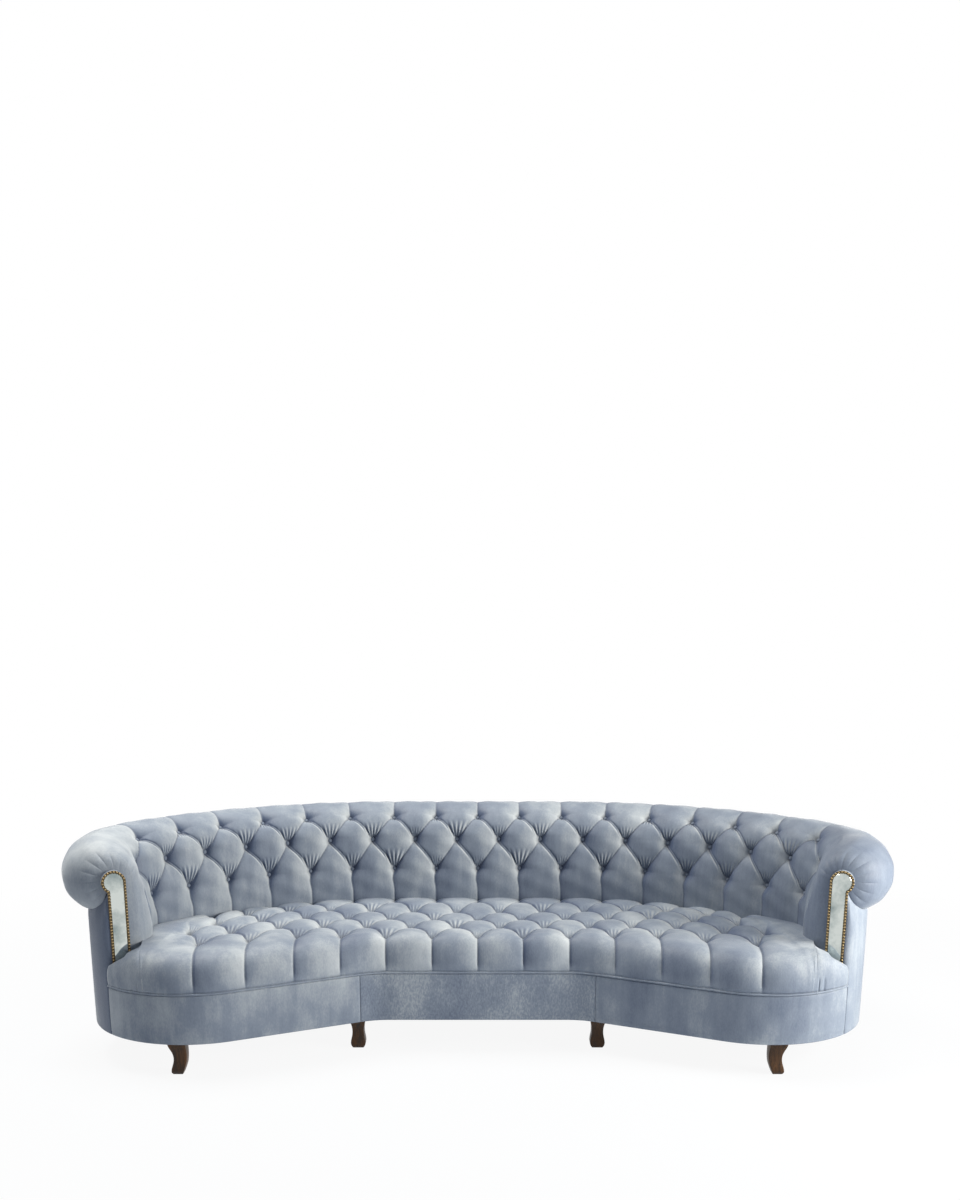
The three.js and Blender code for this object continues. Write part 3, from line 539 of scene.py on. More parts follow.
@dataclass(frozen=True)
class Timber:
    """Sawn or stained timber with its grain along Z or along the piece."""

    name: str
    pale: str
    dark: str
    gloss: float
    along: tuple[float, float, float] = (1.0, 1.0, 0.08)

    def material(self) -> Material:
        """Build the node material."""
        bench = Bench.named(self.name)
        figure = bench.noise(60.0, 6.0, self.along)
        pores = bench.noise(420.0, 2.0, self.along)
        open_pores = bench.spread(pores, 0.4, 0.6, (-0.5, 0.5))
        share = bench.sum(bench.spread(figure, 0.35, 0.65), open_pores, 0.4)
        return bench.finish(
            base_color=bench.blend(share, colour(self.dark), colour(self.pale)),
            roughness=bench.spread(figure, 0.3, 0.7, (self.gloss, self.gloss + 0.14)),
            normal=bench.bump(pores, 0.25, 0.0004),
            specular_ior_level=0.3,
        )


@dataclass(frozen=True)
class Metal:
    """Antique brass: dull in the hollows and rubbed bright on top."""

    name: str = "antique_brass"
    bright: str = "9f8c6a"
    aged: str = "30271b"

    def material(self) -> Material:
        """Build the node material."""
        bench = Bench.named(self.name)
        age = bench.noise(330.0, 4.0)
        share = bench.sum(bench.spread(age, 0.3, 0.7, (0.0, 0.45)), bench.point("rubbed"), 0.6)
        return bench.finish(
            base_color=bench.blend(share, colour(self.aged), colour(self.bright)),
            metallic=1.0,
            roughness=bench.spread(age, 0.3, 0.7, (0.28, 0.5)),
            normal=bench.bump(age, 0.2, 0.0003),
        )


@dataclass(frozen=True)
class Silvering:
    """Mirror glass, very faintly clouded, as old silvering is."""

    name: str = "mirror"
    tone: str = "cdd3cf"
    cloud: str = "8f9b9b"

    def material(self) -> Material:
        """Build the node material."""
        bench = Bench.named(self.name)
        clouds = bench.noise(14.0, 4.0)
        share = bench.spread(clouds, 0.4, 0.7)
        return bench.finish(
            base_color=bench.blend(share, colour(self.tone), colour(self.cloud)),
            metallic=1.0,
            roughness=bench.spread(clouds, 0.4, 0.75, (0.015, 0.05)),
        )


@dataclass(frozen=True)
class Weave:
    """Woven cloth with crossing threads, for webbing and bottom cloth."""

    name: str
    warp: str
    weft: str
    threads: float

    def material(self) -> Material:
        """Build the node material."""
        bench = Bench.named(self.name)
        inputs = {"Vector": bench.place, "Scale": self.threads}
        across, along = (
            bench.add("TexWave", inputs, bands_direction=axis).outputs["Color"] for axis in "XY"
        )
        cross = bench.blend(0.5, across, along)
        wear = bench.spread(bench.noise(35.0, 4.0), 0.4, 0.8, (0.0, 0.35))
        tone = bench.blend(cross, colour(self.warp), colour(self.weft))
        return bench.finish(
            base_color=bench.blend(wear, tone, colour(self.warp)),
            roughness=0.9,
            normal=bench.bump(cross, 0.4, 0.0005),
        )


def put_on_body(piece: Piece, material: Material) -> Piece:
    """Give a piece its finish and fix it to the one body.

    Args:
        piece: The piece.
        material: Its material.

    Returns:
        The piece.
    """
    piece.data.materials.clear()
    piece.data.materials.append(material)
    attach(piece, BODY)
    return piece


def skin(name: str, points: Array, fold: Array, tilt: Array | None = None) -> Piece:
    """Skin a row of closed sections as one closed mesh.

    Args:
        name: Name of the piece.
        points: Corners by section, place in the section and axis.
        fold: Painted shade at each corner, from 0 to 1, in folds, pits, seams and hidden rows.
        tilt: Painted light and shade at each corner: lighter where the cover falls towards +X, and
            set by side on some pieces; negative is darker.

    Returns:
        The new object, at the origin, smooth and with its faces outwards.
    """
    sections, size, _ = points.shape
    i = np.arange(sections - 1)[:, None] * size
    j = np.arange(size)[None, :]
    k = (j + 1) % size
    quads = np.stack([i + j, i + k, i + size + k, i + size + j], axis=-1).reshape(-1, 4)
    flat = points.reshape(-1, 3)
    corner = [flat[quads[:, n]] for n in range(4)]
    volume = np.einsum("ij,ij->", corner[0], np.cross(corner[1], corner[2]))
    volume += np.einsum("ij,ij->", corner[0], np.cross(corner[2], corner[3]))
    faces = quads.tolist()
    faces += [list(range(size))[::-1], list(range((sections - 1) * size, sections * size))]
    if volume < 0:
        faces = [face[::-1] for face in faces]
    mesh = bpy.data.meshes.new(name)
    mesh.from_pydata(flat.tolist(), [], faces)
    mesh.polygons.foreach_set("use_smooth", [True] * len(mesh.polygons))
    # Painted shade and painted light are kept on the corners for the velvet to read.
    for label, values in (("fold", fold), ("tilt", tilt)):
        if values is not None:
            layer = mesh.attributes.new(label, "FLOAT", "POINT")
            layer.data.foreach_set("value", values.reshape(-1).astype(np.float32))
    mesh.validate()
    mesh.update()
    piece = bpy.data.objects.new(name, mesh)
    bpy.context.scene.collection.objects.link(piece)
    return piece


def stack(x: Array, y: Array, z: Array) -> Array:
    """Corners from their three coordinates."""
    return np.stack(np.broadcast_arrays(x, y, z), axis=-1)


@dataclass(frozen=True)
class Tufting:
    """Diamond buttoning: pleats run from button to button and part the cover into diamonds.

    Columns and rows count in button spacings and are staggered by half a column. The pleats
    that fall to the right are folded over, so they curve and stand steeper on one side.
    """

    pitch: float
    row_pitch: float
    last_row: int
    depth: float
    pleat_share: float = 0.34
    pit_radius: float = 0.024
    # Painted shade in the pits: how strongly it darkens and where it begins.
    pit_shade_gain: float = 1.35
    pit_shade_start: float = 0.22
    folded_power: float = 0.31
    plain_power: float = 0.42
    plain_gain: float = 1.15
    bow: float = 0.055
    edge_share: float = 0.16
    edge_powers: tuple[float, float] = (0.47, 0.66)
    edge_run: float = 1.2
    lower_bow: float = 0.0
    lower_bow_spot: float = -0.32
    lower_bow_width: float = 0.24
    wrinkle_depth: float = 0.0056
    wrinkle_spacing: float = 0.0168
    wrinkle_reach: float = 0.084
    wrinkle_shade: float = 0.42
    wrinkle_root: float = 0.24
    wrinkle_jitter: float = 0.006
    wrinkle_spread: float = 0.38
    crease_width: float = 0.0045
    crease_shades: tuple[float, float] = (0.68, 0.6)
    outer_run: float = 0.6
    second_fold_spot: float = -0.062
    second_fold_width: float = 0.018
    second_fold_depth: float = 0.0048
    second_fold_shade: float = 0.7

    def relief(self, column: Array, row: Array) -> tuple[Array, Array]:
        """How the cover is pulled in.

        Args:
            column: Place along the sofa, in columns.
            row: Place across the cover, in rows.

        Returns:
            Depth in metres, and painted shade in the creases and pits, from 0 to 1.
        """
        column = column + self.lower_bow_at(row)
        held = np.clip(row, 0, self.last_row)
        beyond = np.abs(row - held)
        arch = self.bow * np.sin(math.pi * held) ** 2
        first = column - held / 2
        second = column + held / 2 - arch
        off_first = first - np.round(first)
        off_second = second - np.round(second)
        left, right = np.abs(np.sin(math.pi * first)), np.abs(np.sin(math.pi * second))
        outside = np.clip(beyond / self.outer_run, 0.0, 1.0)
        narrow = mix(1.0, self.edge_power(row), outside)
        steep = np.where(off_second > 0, self.folded_power, self.plain_power * self.plain_gain)
        full = left ** (self.plain_power * narrow) * right ** (steep * narrow)
        away = np.hypot(self.pitch / 2, self.row_pitch) * np.hypot(left, right) / math.pi
        near = np.exp(-(away + self.row_pitch * beyond) / self.pit_radius)
        pleat = mix(self.pleat_share, self.edge_depth(row), outside)
        sunk = self.depth * (pleat * (1 - full) + (1 - pleat) * near)
        metres = self.pitch * np.minimum(np.abs(off_first), np.abs(off_second))
        # Painted shade: a dark line along each pleat, and a dark patch in each button's pit.
        crease = ridge(metres, 0.0, self.crease_width) * mix(*self.crease_shades, outside)
        pit = np.clip(near * self.pit_shade_gain - self.pit_shade_start, 0.0, 1.0)
        lines, shade = self.wrinkles(column, row)
        second_fold = self.under_fold(off_second, held)
        # Painted shade along the second crease, added to the wrinkles' painted shade.
        shade = shade + self.second_fold_shade * second_fold
        fold = np.clip(np.maximum(crease, pit) + shade, 0.0, 1.0)
        return sunk + lines + self.second_fold_depth * second_fold, fold

    def lower_bow_at(self, row: Array) -> Array:
        """How far the straight pleats bow sideways before the first row."""
        return self.lower_bow * ridge(row, self.lower_bow_spot, self.lower_bow_width) * (row < 0)

    def edge_power(self, row: Array) -> Array:
        """How narrow the straight pleats are beyond the last row and before the first."""
        return np.where(row > 0, *self.edge_powers)

    def edge_depth(self, row: Array) -> Array:
        """How deep those straight pleats are, as a share of a button's depth."""
        over = np.clip((row - self.last_row) / self.edge_run, 0.0, 1.0)
        return np.where(row > 0, mix(self.pleat_share, self.edge_share, over), self.pleat_share)

    def under_fold(self, off_second: Array, held: Array) -> Array:
        """Second crease beside a folded pleat, strongest near the upper button."""
        along = held - np.floor(held)
        window = smooth(along, 0.25, 0.6) * (1 - smooth(along, 0.86, 0.99))
        return ridge(off_second, self.second_fold_spot, self.second_fold_width) * window

    def fan(self, column: Array, row: Array, origin: Array, upward: bool) -> tuple[Array, Array]:
        """Creases that fan out from the buttons of given rows, up or down the cover.

        Args:
            column: Place along the sofa, in columns.
            row: Place across the cover, in rows.
            origin: The row of the buttons that they start from.
            upward: Whether they run up the cover, where they are longer.

        Returns:
            Depth in metres, and painted shade along the creases, from 0 to 1.
        """
        stagger = (origin % 2) / 2
        button = np.round(column - stagger) + stagger
        across = (column - button) * self.pitch
        along = np.abs(row - origin) * self.row_pitch
        # A repeatable chance for every button, the fractional part of a large sine.
        chance = np.sin(button * 12.9898 + origin * 78.233) * 43758.5453
        chance = chance - np.floor(chance)
        reach = self.wrinkle_reach * mix(0.75, 1.2, chance) * (1.0 if upward else 0.5)
        spacing = self.wrinkle_spacing * mix(0.85, 1.2, chance)
        fan = across / (self.wrinkle_root + along / (1.15 * self.wrinkle_reach))
        fan = fan - (chance - 0.35) * self.wrinkle_jitter
        lines = 0.5 + 0.5 * np.cos(2 * math.pi * fan / spacing)
        window = smooth(along, 0.006, 0.016) * (1 - smooth(along, 0.5 * reach, reach))
        spread = 0.008 + self.wrinkle_spread * along
        window = window * (1 - smooth(np.abs(across), spread, spread * 1.6)) * mix(0.8, 1.1, chance)
        return self.wrinkle_depth * lines**1.8 * window, self.wrinkle_shade * lines**2.5 * window

    def wrinkles(self, column: Array, row: Array) -> tuple[Array, Array]:
        """Short creases above the buttons, and below those of the last row, with painted shade."""
        inside = (row > 0) & (row < self.last_row)
        below = np.clip(np.floor(row), 0, self.last_row - 1)
        lines, shade = self.fan(column, row, below, True)
        fallen, fallen_shade = self.fan(column, row, np.full_like(below, self.last_row), False)
        under = inside & (row > self.last_row - 1)
        lines = np.where(inside, lines, 0.0) + np.where(under, fallen, 0.0)
        shade = np.where(inside, shade, 0.0) + np.where(under, fallen_shade, 0.0)
        return lines, shade


@dataclass(frozen=True)
class InsideUpholstery:
    """The tufted cover of back and arms, one continuous pad from facing to facing."""

    plan: SofaPlan = PLAN
    tufting: Tufting = Tufting(
        pitch=BUTTON_PITCH,
        row_pitch=0.124,
        last_row=2,
        depth=0.046,
        pleat_share=0.27,
        edge_share=0.10,
        lower_bow=0.035,
    )
    first_row: float = 0.155
    last_column: float = 9.15
    rail_width: float = 0.045
    wood_clearance: float = 0.002
    top_rail_top: float = 0.640
    lip_drop: float = 0.003
    grid: float = 0.0034
    arm_swell: float = 0.026
    swell_start: tuple[float, float] = (1.3, 1.8)
    swell_stop: float = 2.0
    swell_lengths: tuple[float, float] = (0.10, 0.34)
    uneven: float = 0.0016
    # Painted light by side: the left arm's inside is painted lighter, the right's darker.
    arm_nap: float = 0.36
    end_pleats: int = 11
    end_pleat_depth: float = 0.0115
    end_pleat_shade: float = 0.55
    close_up: float = 0.36

    def end_relief(self, length: Array, drawn: Array) -> tuple[Array, Array]:
        """Pleats that gather the end of the roll under the facing.

        Args:
            length: Length on the profile.
            drawn: How far the section is drawn in, from 0 to 1.

        Returns:
            Depth in metres, and painted shade in the pleats, from 0 to 1.
        """
        face = self.plan.face[0]
        around = (length - face) / (self.plan.profile_length - face)
        turn = around * self.end_pleats + 0.25 * np.sin(5.0 * around)
        groove = 1 - np.abs(np.sin(math.pi * turn)) ** 0.42
        chance = np.abs(np.sin(np.round(turn) * 7.31 + 1.3))
        window = smooth(drawn, 0.22, 0.50 + 0.30 * chance) * smooth(around, -0.02, 0.04)
        window = window * (1 - smooth(drawn, 0.90, 1.0) * 0.5)
        depth = self.end_pleat_depth * groove * window * mix(0.55, 1.0, chance)
        return depth, self.end_pleat_shade * groove * window

    def surface(self, place: Array, length: Array) -> tuple[Array, Array, Array]:
        """Cover at places along the sofa and lengths up the profile.

        Args:
            place: Signed places on the button line.
            length: Lengths on the profile.

        Returns:
            Corners, their painted shade, and their painted light from slope and arm side.
        """
        inset, height, out_inset, out_height = self.plan.profile(length)
        across, end_height = self.plan.facing_profile(length)
        drawn = self.plan.drawn(place)
        column = np.abs(place) / self.tufting.pitch
        angle = self.plan.wall_angle(place)
        swell = smooth(angle, *self.swell_start)
        swell = swell * (1 - smooth(angle, self.swell_stop, self.plan.arm_end))
        inset = inset + self.arm_swell * swell * (1 - smooth(length, *self.swell_lengths))
        row = (length - self.first_row) / self.tufting.row_pitch
        signed = place / self.tufting.pitch
        sunk, fold = self.tufting.relief(signed, row)
        last = self.last_column - np.clip(row, 0, self.tufting.last_row) / 2
        tail = np.clip((self.plan.profile_length - length) / self.tufting.row_pitch, 0.0, 1.0)
        share = fade_out(column, last, last + 0.5) * tail
        gathered, gathered_shade = self.end_relief(length, drawn)
        waves = self.uneven * np.sin(signed * 9.7 + row * 4.1)
        waves = waves * np.sin(signed * 3.3 - row * 5.7 + 1.0)
        sunk = sunk * share + waves * (1 - drawn)
        # Painted light: lighter where the cover falls towards +X, and lighter or darker by arm
        # side.
        slope = np.gradient(sunk, place[:, 0], axis=0) if len(place) > 1 else 0 * sunk
        turned = np.sin(np.minimum(angle, math.pi / 2)) ** 3
        tilt = slope * (1 - drawn) - self.arm_nap * np.sign(place) * turned
        fold = np.maximum(fold * share, gathered_shade)
        x, y = self.plan.arm(place, inset - sunk * out_inset, across, drawn)
        z = mix(height - sunk * out_height, end_height, drawn)
        tight = gathered * (1 - drawn**4)
        middle_x, middle_y = self.plan.arm(place, self.plan.roll_inset, 0.0, drawn)
        centre, face = self.plan.roll_centre, self.plan.face[0]
        radius = np.sqrt((x - middle_x) ** 2 + (y - middle_y) ** 2 + (z - centre) ** 2)
        on_roll = smooth(length, face - 0.05, face + 0.02)
        scale = 1 - on_roll * tight / np.maximum(radius, 0.02)
        x, y = middle_x + (x - middle_x) * scale, middle_y + (y - middle_y) * scale
        z = centre + (z - centre) * scale
        return stack(x, y, z), fold, tilt

    def places(self) -> Array:
        """Signed places along the sofa, closer together towards the facings."""
        count = int(self.plan.arm_length / self.grid)
        share = np.linspace(0.0, 1.0, count)
        eased = share + 0.006 * np.sin(math.pi * share)
        half = np.sin(eased * math.pi / 2 * self.close_up)
        half = self.plan.arm_length * half / math.sin(math.pi / 2 * self.close_up)
        half = np.clip(half, 0.0, self.plan.arm_length)
        half[-1] = self.plan.arm_length
        return np.concatenate([-half[:0:-1], half])

    def hidden(self, place: Array) -> list[tuple[Array, Array, Array]]:
        """Corners of the pad's hidden side: below the cover, then above and behind the rails.

        Args:
            place: Signed places on the button line.

        Returns:
            Frame X, Y and Z of each of its rows.
        """
        plan, drawn = self.plan, self.plan.drawn(place)
        inner = COVER_THICKNESS + self.rail_width + TOUCH + self.wood_clearance
        outer = COVER_THICKNESS - self.wood_clearance
        over = self.top_rail_top + TOUCH
        neck = plan.outer_edge - self.wood_clearance
        lip = plan.neck_height + self.wood_clearance
        rows = [
            (inner, SEAT_BOTTOM, plan.outer_edge, SEAT_BOTTOM),
            (plan.face_inset, SEAT_BOTTOM, plan.head_radius, SEAT_BOTTOM),
            (outer, plan.lip_height, -neck, lip),
            (outer, over, -neck, lip + self.lip_drop),
            (inner, over, plan.outer_edge, lip + self.lip_drop),
        ]
        made = []
        for inset, height, across, end_height in rows:
            x, y = plan.arm(place, np.full_like(place, inset), across, drawn)
            made.append((x, y, mix(height, end_height, drawn)))
        return made

    def build(self) -> Piece:
        """Model the pad."""
        place = self.places()
        rows = int(self.plan.profile_length / self.grid)
        length = np.linspace(0.0, self.plan.profile_length, rows)
        cover, fold, tilt = self.surface(place[:, None], length[None, :])
        hidden = [stack(*corner)[:, None, :] for corner in self.hidden(place)]
        points = np.concatenate(hidden[:2] + [cover] + hidden[2:], axis=1)
        # The hidden rows get full painted shade and no painted light.
        before, behind = np.ones((len(place), 2)), np.ones((len(place), 3))
        dark = np.concatenate([before, fold, behind], axis=1)
        painted_light_rows = np.concatenate([0 * before, tilt, 0 * behind], axis=1)
        return skin("inside_upholstery", points, dark, painted_light_rows)

    def dress(self, piece: Piece) -> Piece:
        """Cover it in velvet and let it stand for the pads of the frame."""
        put_on_body(piece, Velvet("velvet_inside").material())
        sides = [f"inside_back_{side}" for side in LENGTHS]
        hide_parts(*sides, "inside_arm_left", "inside_arm_right")
        return piece


@dataclass(frozen=True)
class SeatUpholstery:
    """The tufted seat, one continuous pad that fans round under both arms."""

    plan: SofaPlan = PLAN
    tufting: Tufting = Tufting(
        pitch=0.173,
        row_pitch=0.130,
        last_row=4,
        depth=0.046,
        pleat_share=0.32,
        wrinkle_reach=0.074,
    )
    crown: float = 0.470
    ledge: float = 0.3295
    ledge_inset: float = 0.015
    end_lift: float = 0.0092
    arm_split: float = 6.75
    front_pitch_gain: float = 0.0015
    bow: float = 0.035
    row_start: float = 0.085
    row_pitch: float = 0.120
    row_pitch_gain: float = 0.022
    wing_shift: float = 0.115
    wing_columns: tuple[float, float] = (4.0, 6.0)
    front_shift: float = 0.017
    rear_margin: float = 0.014
    rear_share: float = 0.55
    rear_rows: tuple[float, float] = (3.4, 4.0)
    back_drop: float = 0.006
    nose_reach: float = 0.110
    nose_bulge: float = 0.007
    nose_power: float = 0.8
    edge_turns: tuple[float, float] = (-0.10, 0.22)
    end_crown: float = 0.400
    end_rise: float = 0.006
    rise_columns: tuple[float, float] = (6.6, 7.1)
    tufted_columns: tuple[float, float] = (6.5, 6.9)
    # Columns over which the seat's painted light fades out.
    tilt_columns: tuple[float, float] = (6.9, 7.3)
    back_press: float = 0.004
    trim_front: float = 0.0254
    fan_bunching: int = 6
    fan_columns: float = 0.75
    end_gap: float = 0.004
    side_gap: float = 0.003
    grid: float = 0.0040
    nose_rows: int = 46
    top_rows: int = 118
    end_pleats: tuple[float, ...] = (7.53, 7.60)
    end_pleat_depth: float = 0.0035
    end_pleat_shade: float = 0.18
    end_pleat_width: float = 0.014
    end_pleat_tops: tuple[float, float] = (0.035, 0.060)

    @property
    def fan_start(self) -> float:
        """Column where the column lines begin to fan round under the arm."""
        split = self.arm_split * BUTTON_PITCH
        return (split + (self.plan.join_length - split) / 4) / BUTTON_PITCH

    @property
    def last_column(self) -> float:
        """Column of the seat's end."""
        return self.fan_start + self.fan_columns

    def fan_share(self, column: Array) -> Array:
        """Place of a column between the fan's start and the seat's end."""
        return (column - self.fan_start) / (self.last_column - self.fan_start)

    def fan_path(self) -> tuple[Array, Array]:
        """Right-hand path of the pad's rear edge beyond the fan's start, evenly stepped."""
        place = np.linspace(self.fan_start * BUTTON_PITCH, self.plan.arm_length, 90)
        drawn = self.plan.drawn(place)
        inset = np.full_like(place, self.plan.face_inset - self.back_press)
        x, y = self.plan.arm(place, inset, self.plan.head_radius - self.back_press, drawn)
        corner = self.plan.head_radius + self.side_gap
        ends = [(corner, self.trim_front), (-self.plan.outer_edge / 2, self.trim_front)]
        for across, depth in ends:
            end_x, end_y = self.plan.facing(across, depth)
            share = np.linspace(0.0, 1.0, 16)[1:]
            x, y = np.append(x, mix(x[-1], end_x, share)), np.append(y, mix(y[-1], end_y, share))
        run = line_length(x, y)
        even = np.linspace(0.0, run[-1], 220)
        x, y = np.interp(even, run, x), np.interp(even, run, y)
        soft = np.ones(9) / 9
        for line in (x, y):
            line[4:-4] = np.convolve(line, soft, mode="valid")
        return x, y

    def back(self, column: Array) -> tuple[Array, Array]:
        """Plan point of each column line's rear end."""
        x, y = self.plan.wall(column * BUTTON_PITCH, self.plan.face_inset - self.back_press)
        path_x, path_y = self.fan_path()
        share = self.fan_share(column)
        even = np.linspace(0.0, 1.0, len(path_x))
        fanned = column > self.fan_start
        return (
            np.where(fanned, np.interp(share, even, path_x), x),
            np.where(fanned, np.interp(share, even, path_y), y),
        )

    def front(self, column: Array, inset: float) -> tuple[Array, Array]:
        """Plan point of each column line's front end, behind the front edge by an inset."""
        pitch, gain = self.tufting.pitch, self.front_pitch_gain
        length = column * (pitch + gain * column)
        fan_length = self.fan_start * (pitch + gain * self.fan_start)
        share = np.clip(self.fan_share(column), 0.0, 1.0)
        end = self.plan.front_lengths[2] - self.end_gap
        fanned = mix(fan_length, end, share**self.fan_bunching)
        return self.plan.front(np.where(column <= self.fan_start, length, fanned), inset)

    def columns(self) -> Array:
        """Signed columns, closer where the front edge turns round the lobe."""
        count = int(self.fan_start * self.tufting.pitch / self.grid)
        plain = np.linspace(0.0, self.fan_start, count)
        fanned = np.linspace(self.fan_start, self.last_column, 190)[1:]
        half = np.concatenate([plain, fanned])
        return np.concatenate([-half[:0:-1], half])

    def build(self) -> Piece:
        """Model the pad."""
        return skin("seat_upholstery", *self.surface(self.columns()[:, None]))

    def crown_at(self, column: Array) -> Array:
        """Height of the pad's top: full until close to the facing, then falling across it."""
        share = np.clip(self.fan_share(column), 0.0, 1.0)
        return mix(self.crown, self.end_crown, np.clip((share - 0.55) / 0.45, 0.0, 1.0) ** 3)

    def surface(
        self, signed: Array, wanted: Array | None = None
    ) -> tuple[Array, Array, Array | None]:
        """Sections of the pad, or single places on its top.

        Args:
            signed: Signed columns, one to a section.
            wanted: Rows of single places on the top, or None for whole closed sections.

        Returns:
            Corners, their painted shade, and their painted light from the slope towards +X,
            which is None for single places.
        """
        column = np.abs(signed)
        side = np.where(signed < 0, -1.0, 1.0)
        front_x, front_y = self.front(column, 0.0)
        back_x, back_y = self.back(column)
        depth = np.hypot(back_x - front_x, back_y - front_y)
        ahead_x, ahead_y = (back_x - front_x) / depth, (back_y - front_y) / depth
        wing = np.clip(column / self.wing_columns[1], 0.0, 1.0)
        pitch = self.row_pitch + self.row_pitch_gain * wing
        first = self.row_start - self.wing_shift * smooth(column, *self.wing_columns)
        first = np.minimum(first + self.plan.shift - front_y, depth / 2)
        crown = self.crown_at(column)
        stops = self.row_stops(first, pitch, depth)
        if wanted is None:
            run, z, lean, edge = self.bare_section(first, depth, crown)
        else:
            near = [fade_out(np.abs(wanted - n), 0.0, 1.0) for n in range(len(stops))]
            run = sum(stop * share for stop, share in zip(stops, near))
            z, lean, edge = crown + 0.0 * wanted, 0.0 * wanted, 1.0
        row = sum(np.clip((run - a) / (b - a), 0.0, 1.0) for a, b in zip(stops, stops[1:]))
        row = row + np.minimum(run - stops[0], 0.0) / pitch
        row = row + np.maximum(run - stops[-1], 0.0) / pitch
        sunk, fold = self.tufting.relief(signed, row)
        rear = mix(1.0, self.rear_share, smooth(row, *self.rear_rows))
        share = fade_out(column, *self.tufted_columns) * edge * rear
        end_sunk, end_shade = self.end_relief(column, z, lean)
        sunk, fold = sunk * share + end_sunk, np.maximum(fold * share, end_shade)
        rise = self.end_rise * np.sin(math.pi * np.clip(run / depth, 0.0, 1.0))
        rise = rise * smooth(column, *self.rise_columns)
        drop = self.back_drop * smooth(run, np.maximum(depth - pitch, depth / 2), depth)
        along = run + sunk * lean
        bowed = self.bow * wing**4 * fade_out(column, self.wing_columns[1], self.fan_start)
        swing = bowed * np.sin(math.pi * np.clip(along / depth, 0.0, 1.0))
        x = front_x + ahead_x * along + ahead_y * swing
        y = front_y + ahead_y * along - ahead_x * swing
        z = z - sunk * np.sqrt(1 - lean**2) - drop + rise
        top = stack(x * side, y, z)
        if wanted is not None:
            return top, fold, None
        # Painted light: lighter where the cover falls towards +X.
        tilt = np.gradient(sunk, signed[:, 0] * self.tufting.pitch, axis=0)
        tilt = tilt * fade_out(column, *self.tilt_columns)
        lift = fade_out(depth, 4 * self.ledge_inset, 8 * self.ledge_inset)
        under = mix(SEAT_BOTTOM, self.ledge + self.end_lift, lift)
        inset = np.minimum(self.ledge_inset, depth / 3)
        tucked_x, tucked_y = front_x + ahead_x * inset, front_y + ahead_y * inset
        low = [
            stack(back_x * side, back_y, under),
            stack(tucked_x * side, tucked_y, under),
            stack(tucked_x * side, tucked_y, np.full_like(under, self.ledge)),
        ]
        # The tucked rows under the nose get full painted shade and no painted light.
        below = np.ones((len(signed), len(low)))
        fold = np.concatenate([fold, below], axis=1)
        tilt = np.concatenate([tilt, 0 * below], axis=1)
        return np.concatenate([top] + low, axis=1), fold, tilt

    def bare_section(self, first: Array, depth: Array, crown: Array) -> tuple[Array, ...]:
        """Untufted sections from the ledge over the nose and back along the top.

        Args:
            first: How far behind the front edge the first row of buttons would lie.
            depth: Length of each column line.
            crown: Height of the top.

        Returns:
            Distance behind the front edge, height, how far the cover faces forwards, from 0 to
            1, and how much of the tufting's depth each place takes.
        """
        reach = np.minimum(0.8 * first, self.nose_reach)
        turn = np.linspace(0.0, math.pi / 2, self.nose_rows)[None, :]
        bulge = self.nose_bulge * np.sin(2 * turn) ** self.nose_power
        bulge = bulge * np.clip(reach / 0.04, 0.0, 1.0)
        nose_run = reach * (1 - np.cos(turn) ** self.nose_power) - bulge
        nose_z = mix(self.ledge, crown, np.sin(turn) ** self.nose_power)
        top_run = reach + (depth - reach) * np.linspace(0.0, 1.0, self.top_rows + 1)[None, 1:]
        lean = np.broadcast_to(np.cos(turn), nose_run.shape)
        edge = smooth(turn, *self.edge_turns)
        return (
            np.concatenate([nose_run, top_run], axis=1),
            np.concatenate([nose_z, np.broadcast_to(crown, top_run.shape)], axis=1),
            np.concatenate([lean, np.zeros_like(top_run)], axis=1),
            np.concatenate([edge, np.ones((1, self.top_rows))], axis=1),
        )

    def row_stops(self, first: Array, pitch: Array, depth: Array) -> list[Array]:
        """How far behind the front edge each row of buttons lies; the last is at the back."""
        second = first + pitch
        fourth = second + 2 * pitch
        last = np.maximum(fourth + 0.8 * pitch, depth - self.rear_margin)
        return [first - self.front_shift, second, second + pitch, fourth, last]

    def end_relief(self, column: Array, z: Array, lean: Array) -> tuple[Array, Array]:
        """Two small pleats that ease the cover round each rounded end, above the welt, with painted
        shade.
        """
        low, high = (self.ledge + top for top in self.end_pleat_tops)
        window = lean * (1 - smooth(z, low, high))
        sunk, fold = np.zeros_like(z * column), np.zeros_like(z * column)
        for spot in self.end_pleats:
            line = ridge(column, spot, self.end_pleat_width)
            sunk = sunk + self.end_pleat_depth * line * window
            fold = fold + self.end_pleat_shade * line * window
        return sunk, np.clip(fold, 0.0, 1.0)

    def dress(self, piece: Piece) -> Piece:
        """Cover it in velvet and let it stand for the pads of the frame."""
        put_on_body(piece, Velvet("velvet_seat", Nap.BRUSHED).material())
        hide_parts(*[f"seat_pad_{side}" for side in LENGTHS])
        return piece


def select_only(*pieces: Piece) -> None:
    """Select these pieces alone, the first as the active one, or nothing at all."""
    bpy.ops.object.select_all(action="DESELECT")
    for piece in pieces:
        piece.select_set(True)
        bpy.context.view_layer.objects.active = pieces[0]


def start_shaping(piece: Piece, whole: bool = False) -> None:
    """Open a piece for editing, with the whole of it selected or none of it."""
    select_only(piece)
    bpy.ops.object.mode_set(mode="EDIT")
    bpy.ops.mesh.select_all(action="SELECT" if whole else "DESELECT")


def stop_shaping() -> None:
    """Leave editing."""
    bpy.ops.object.mode_set(mode="OBJECT")


def resize(size: Sequence[float], centre: Sequence[float] = (0.0, 0.0, 0.0)) -> None:
    """Resize what is selected about a centre."""
    bpy.ops.transform.resize(value=size, center_override=centre)


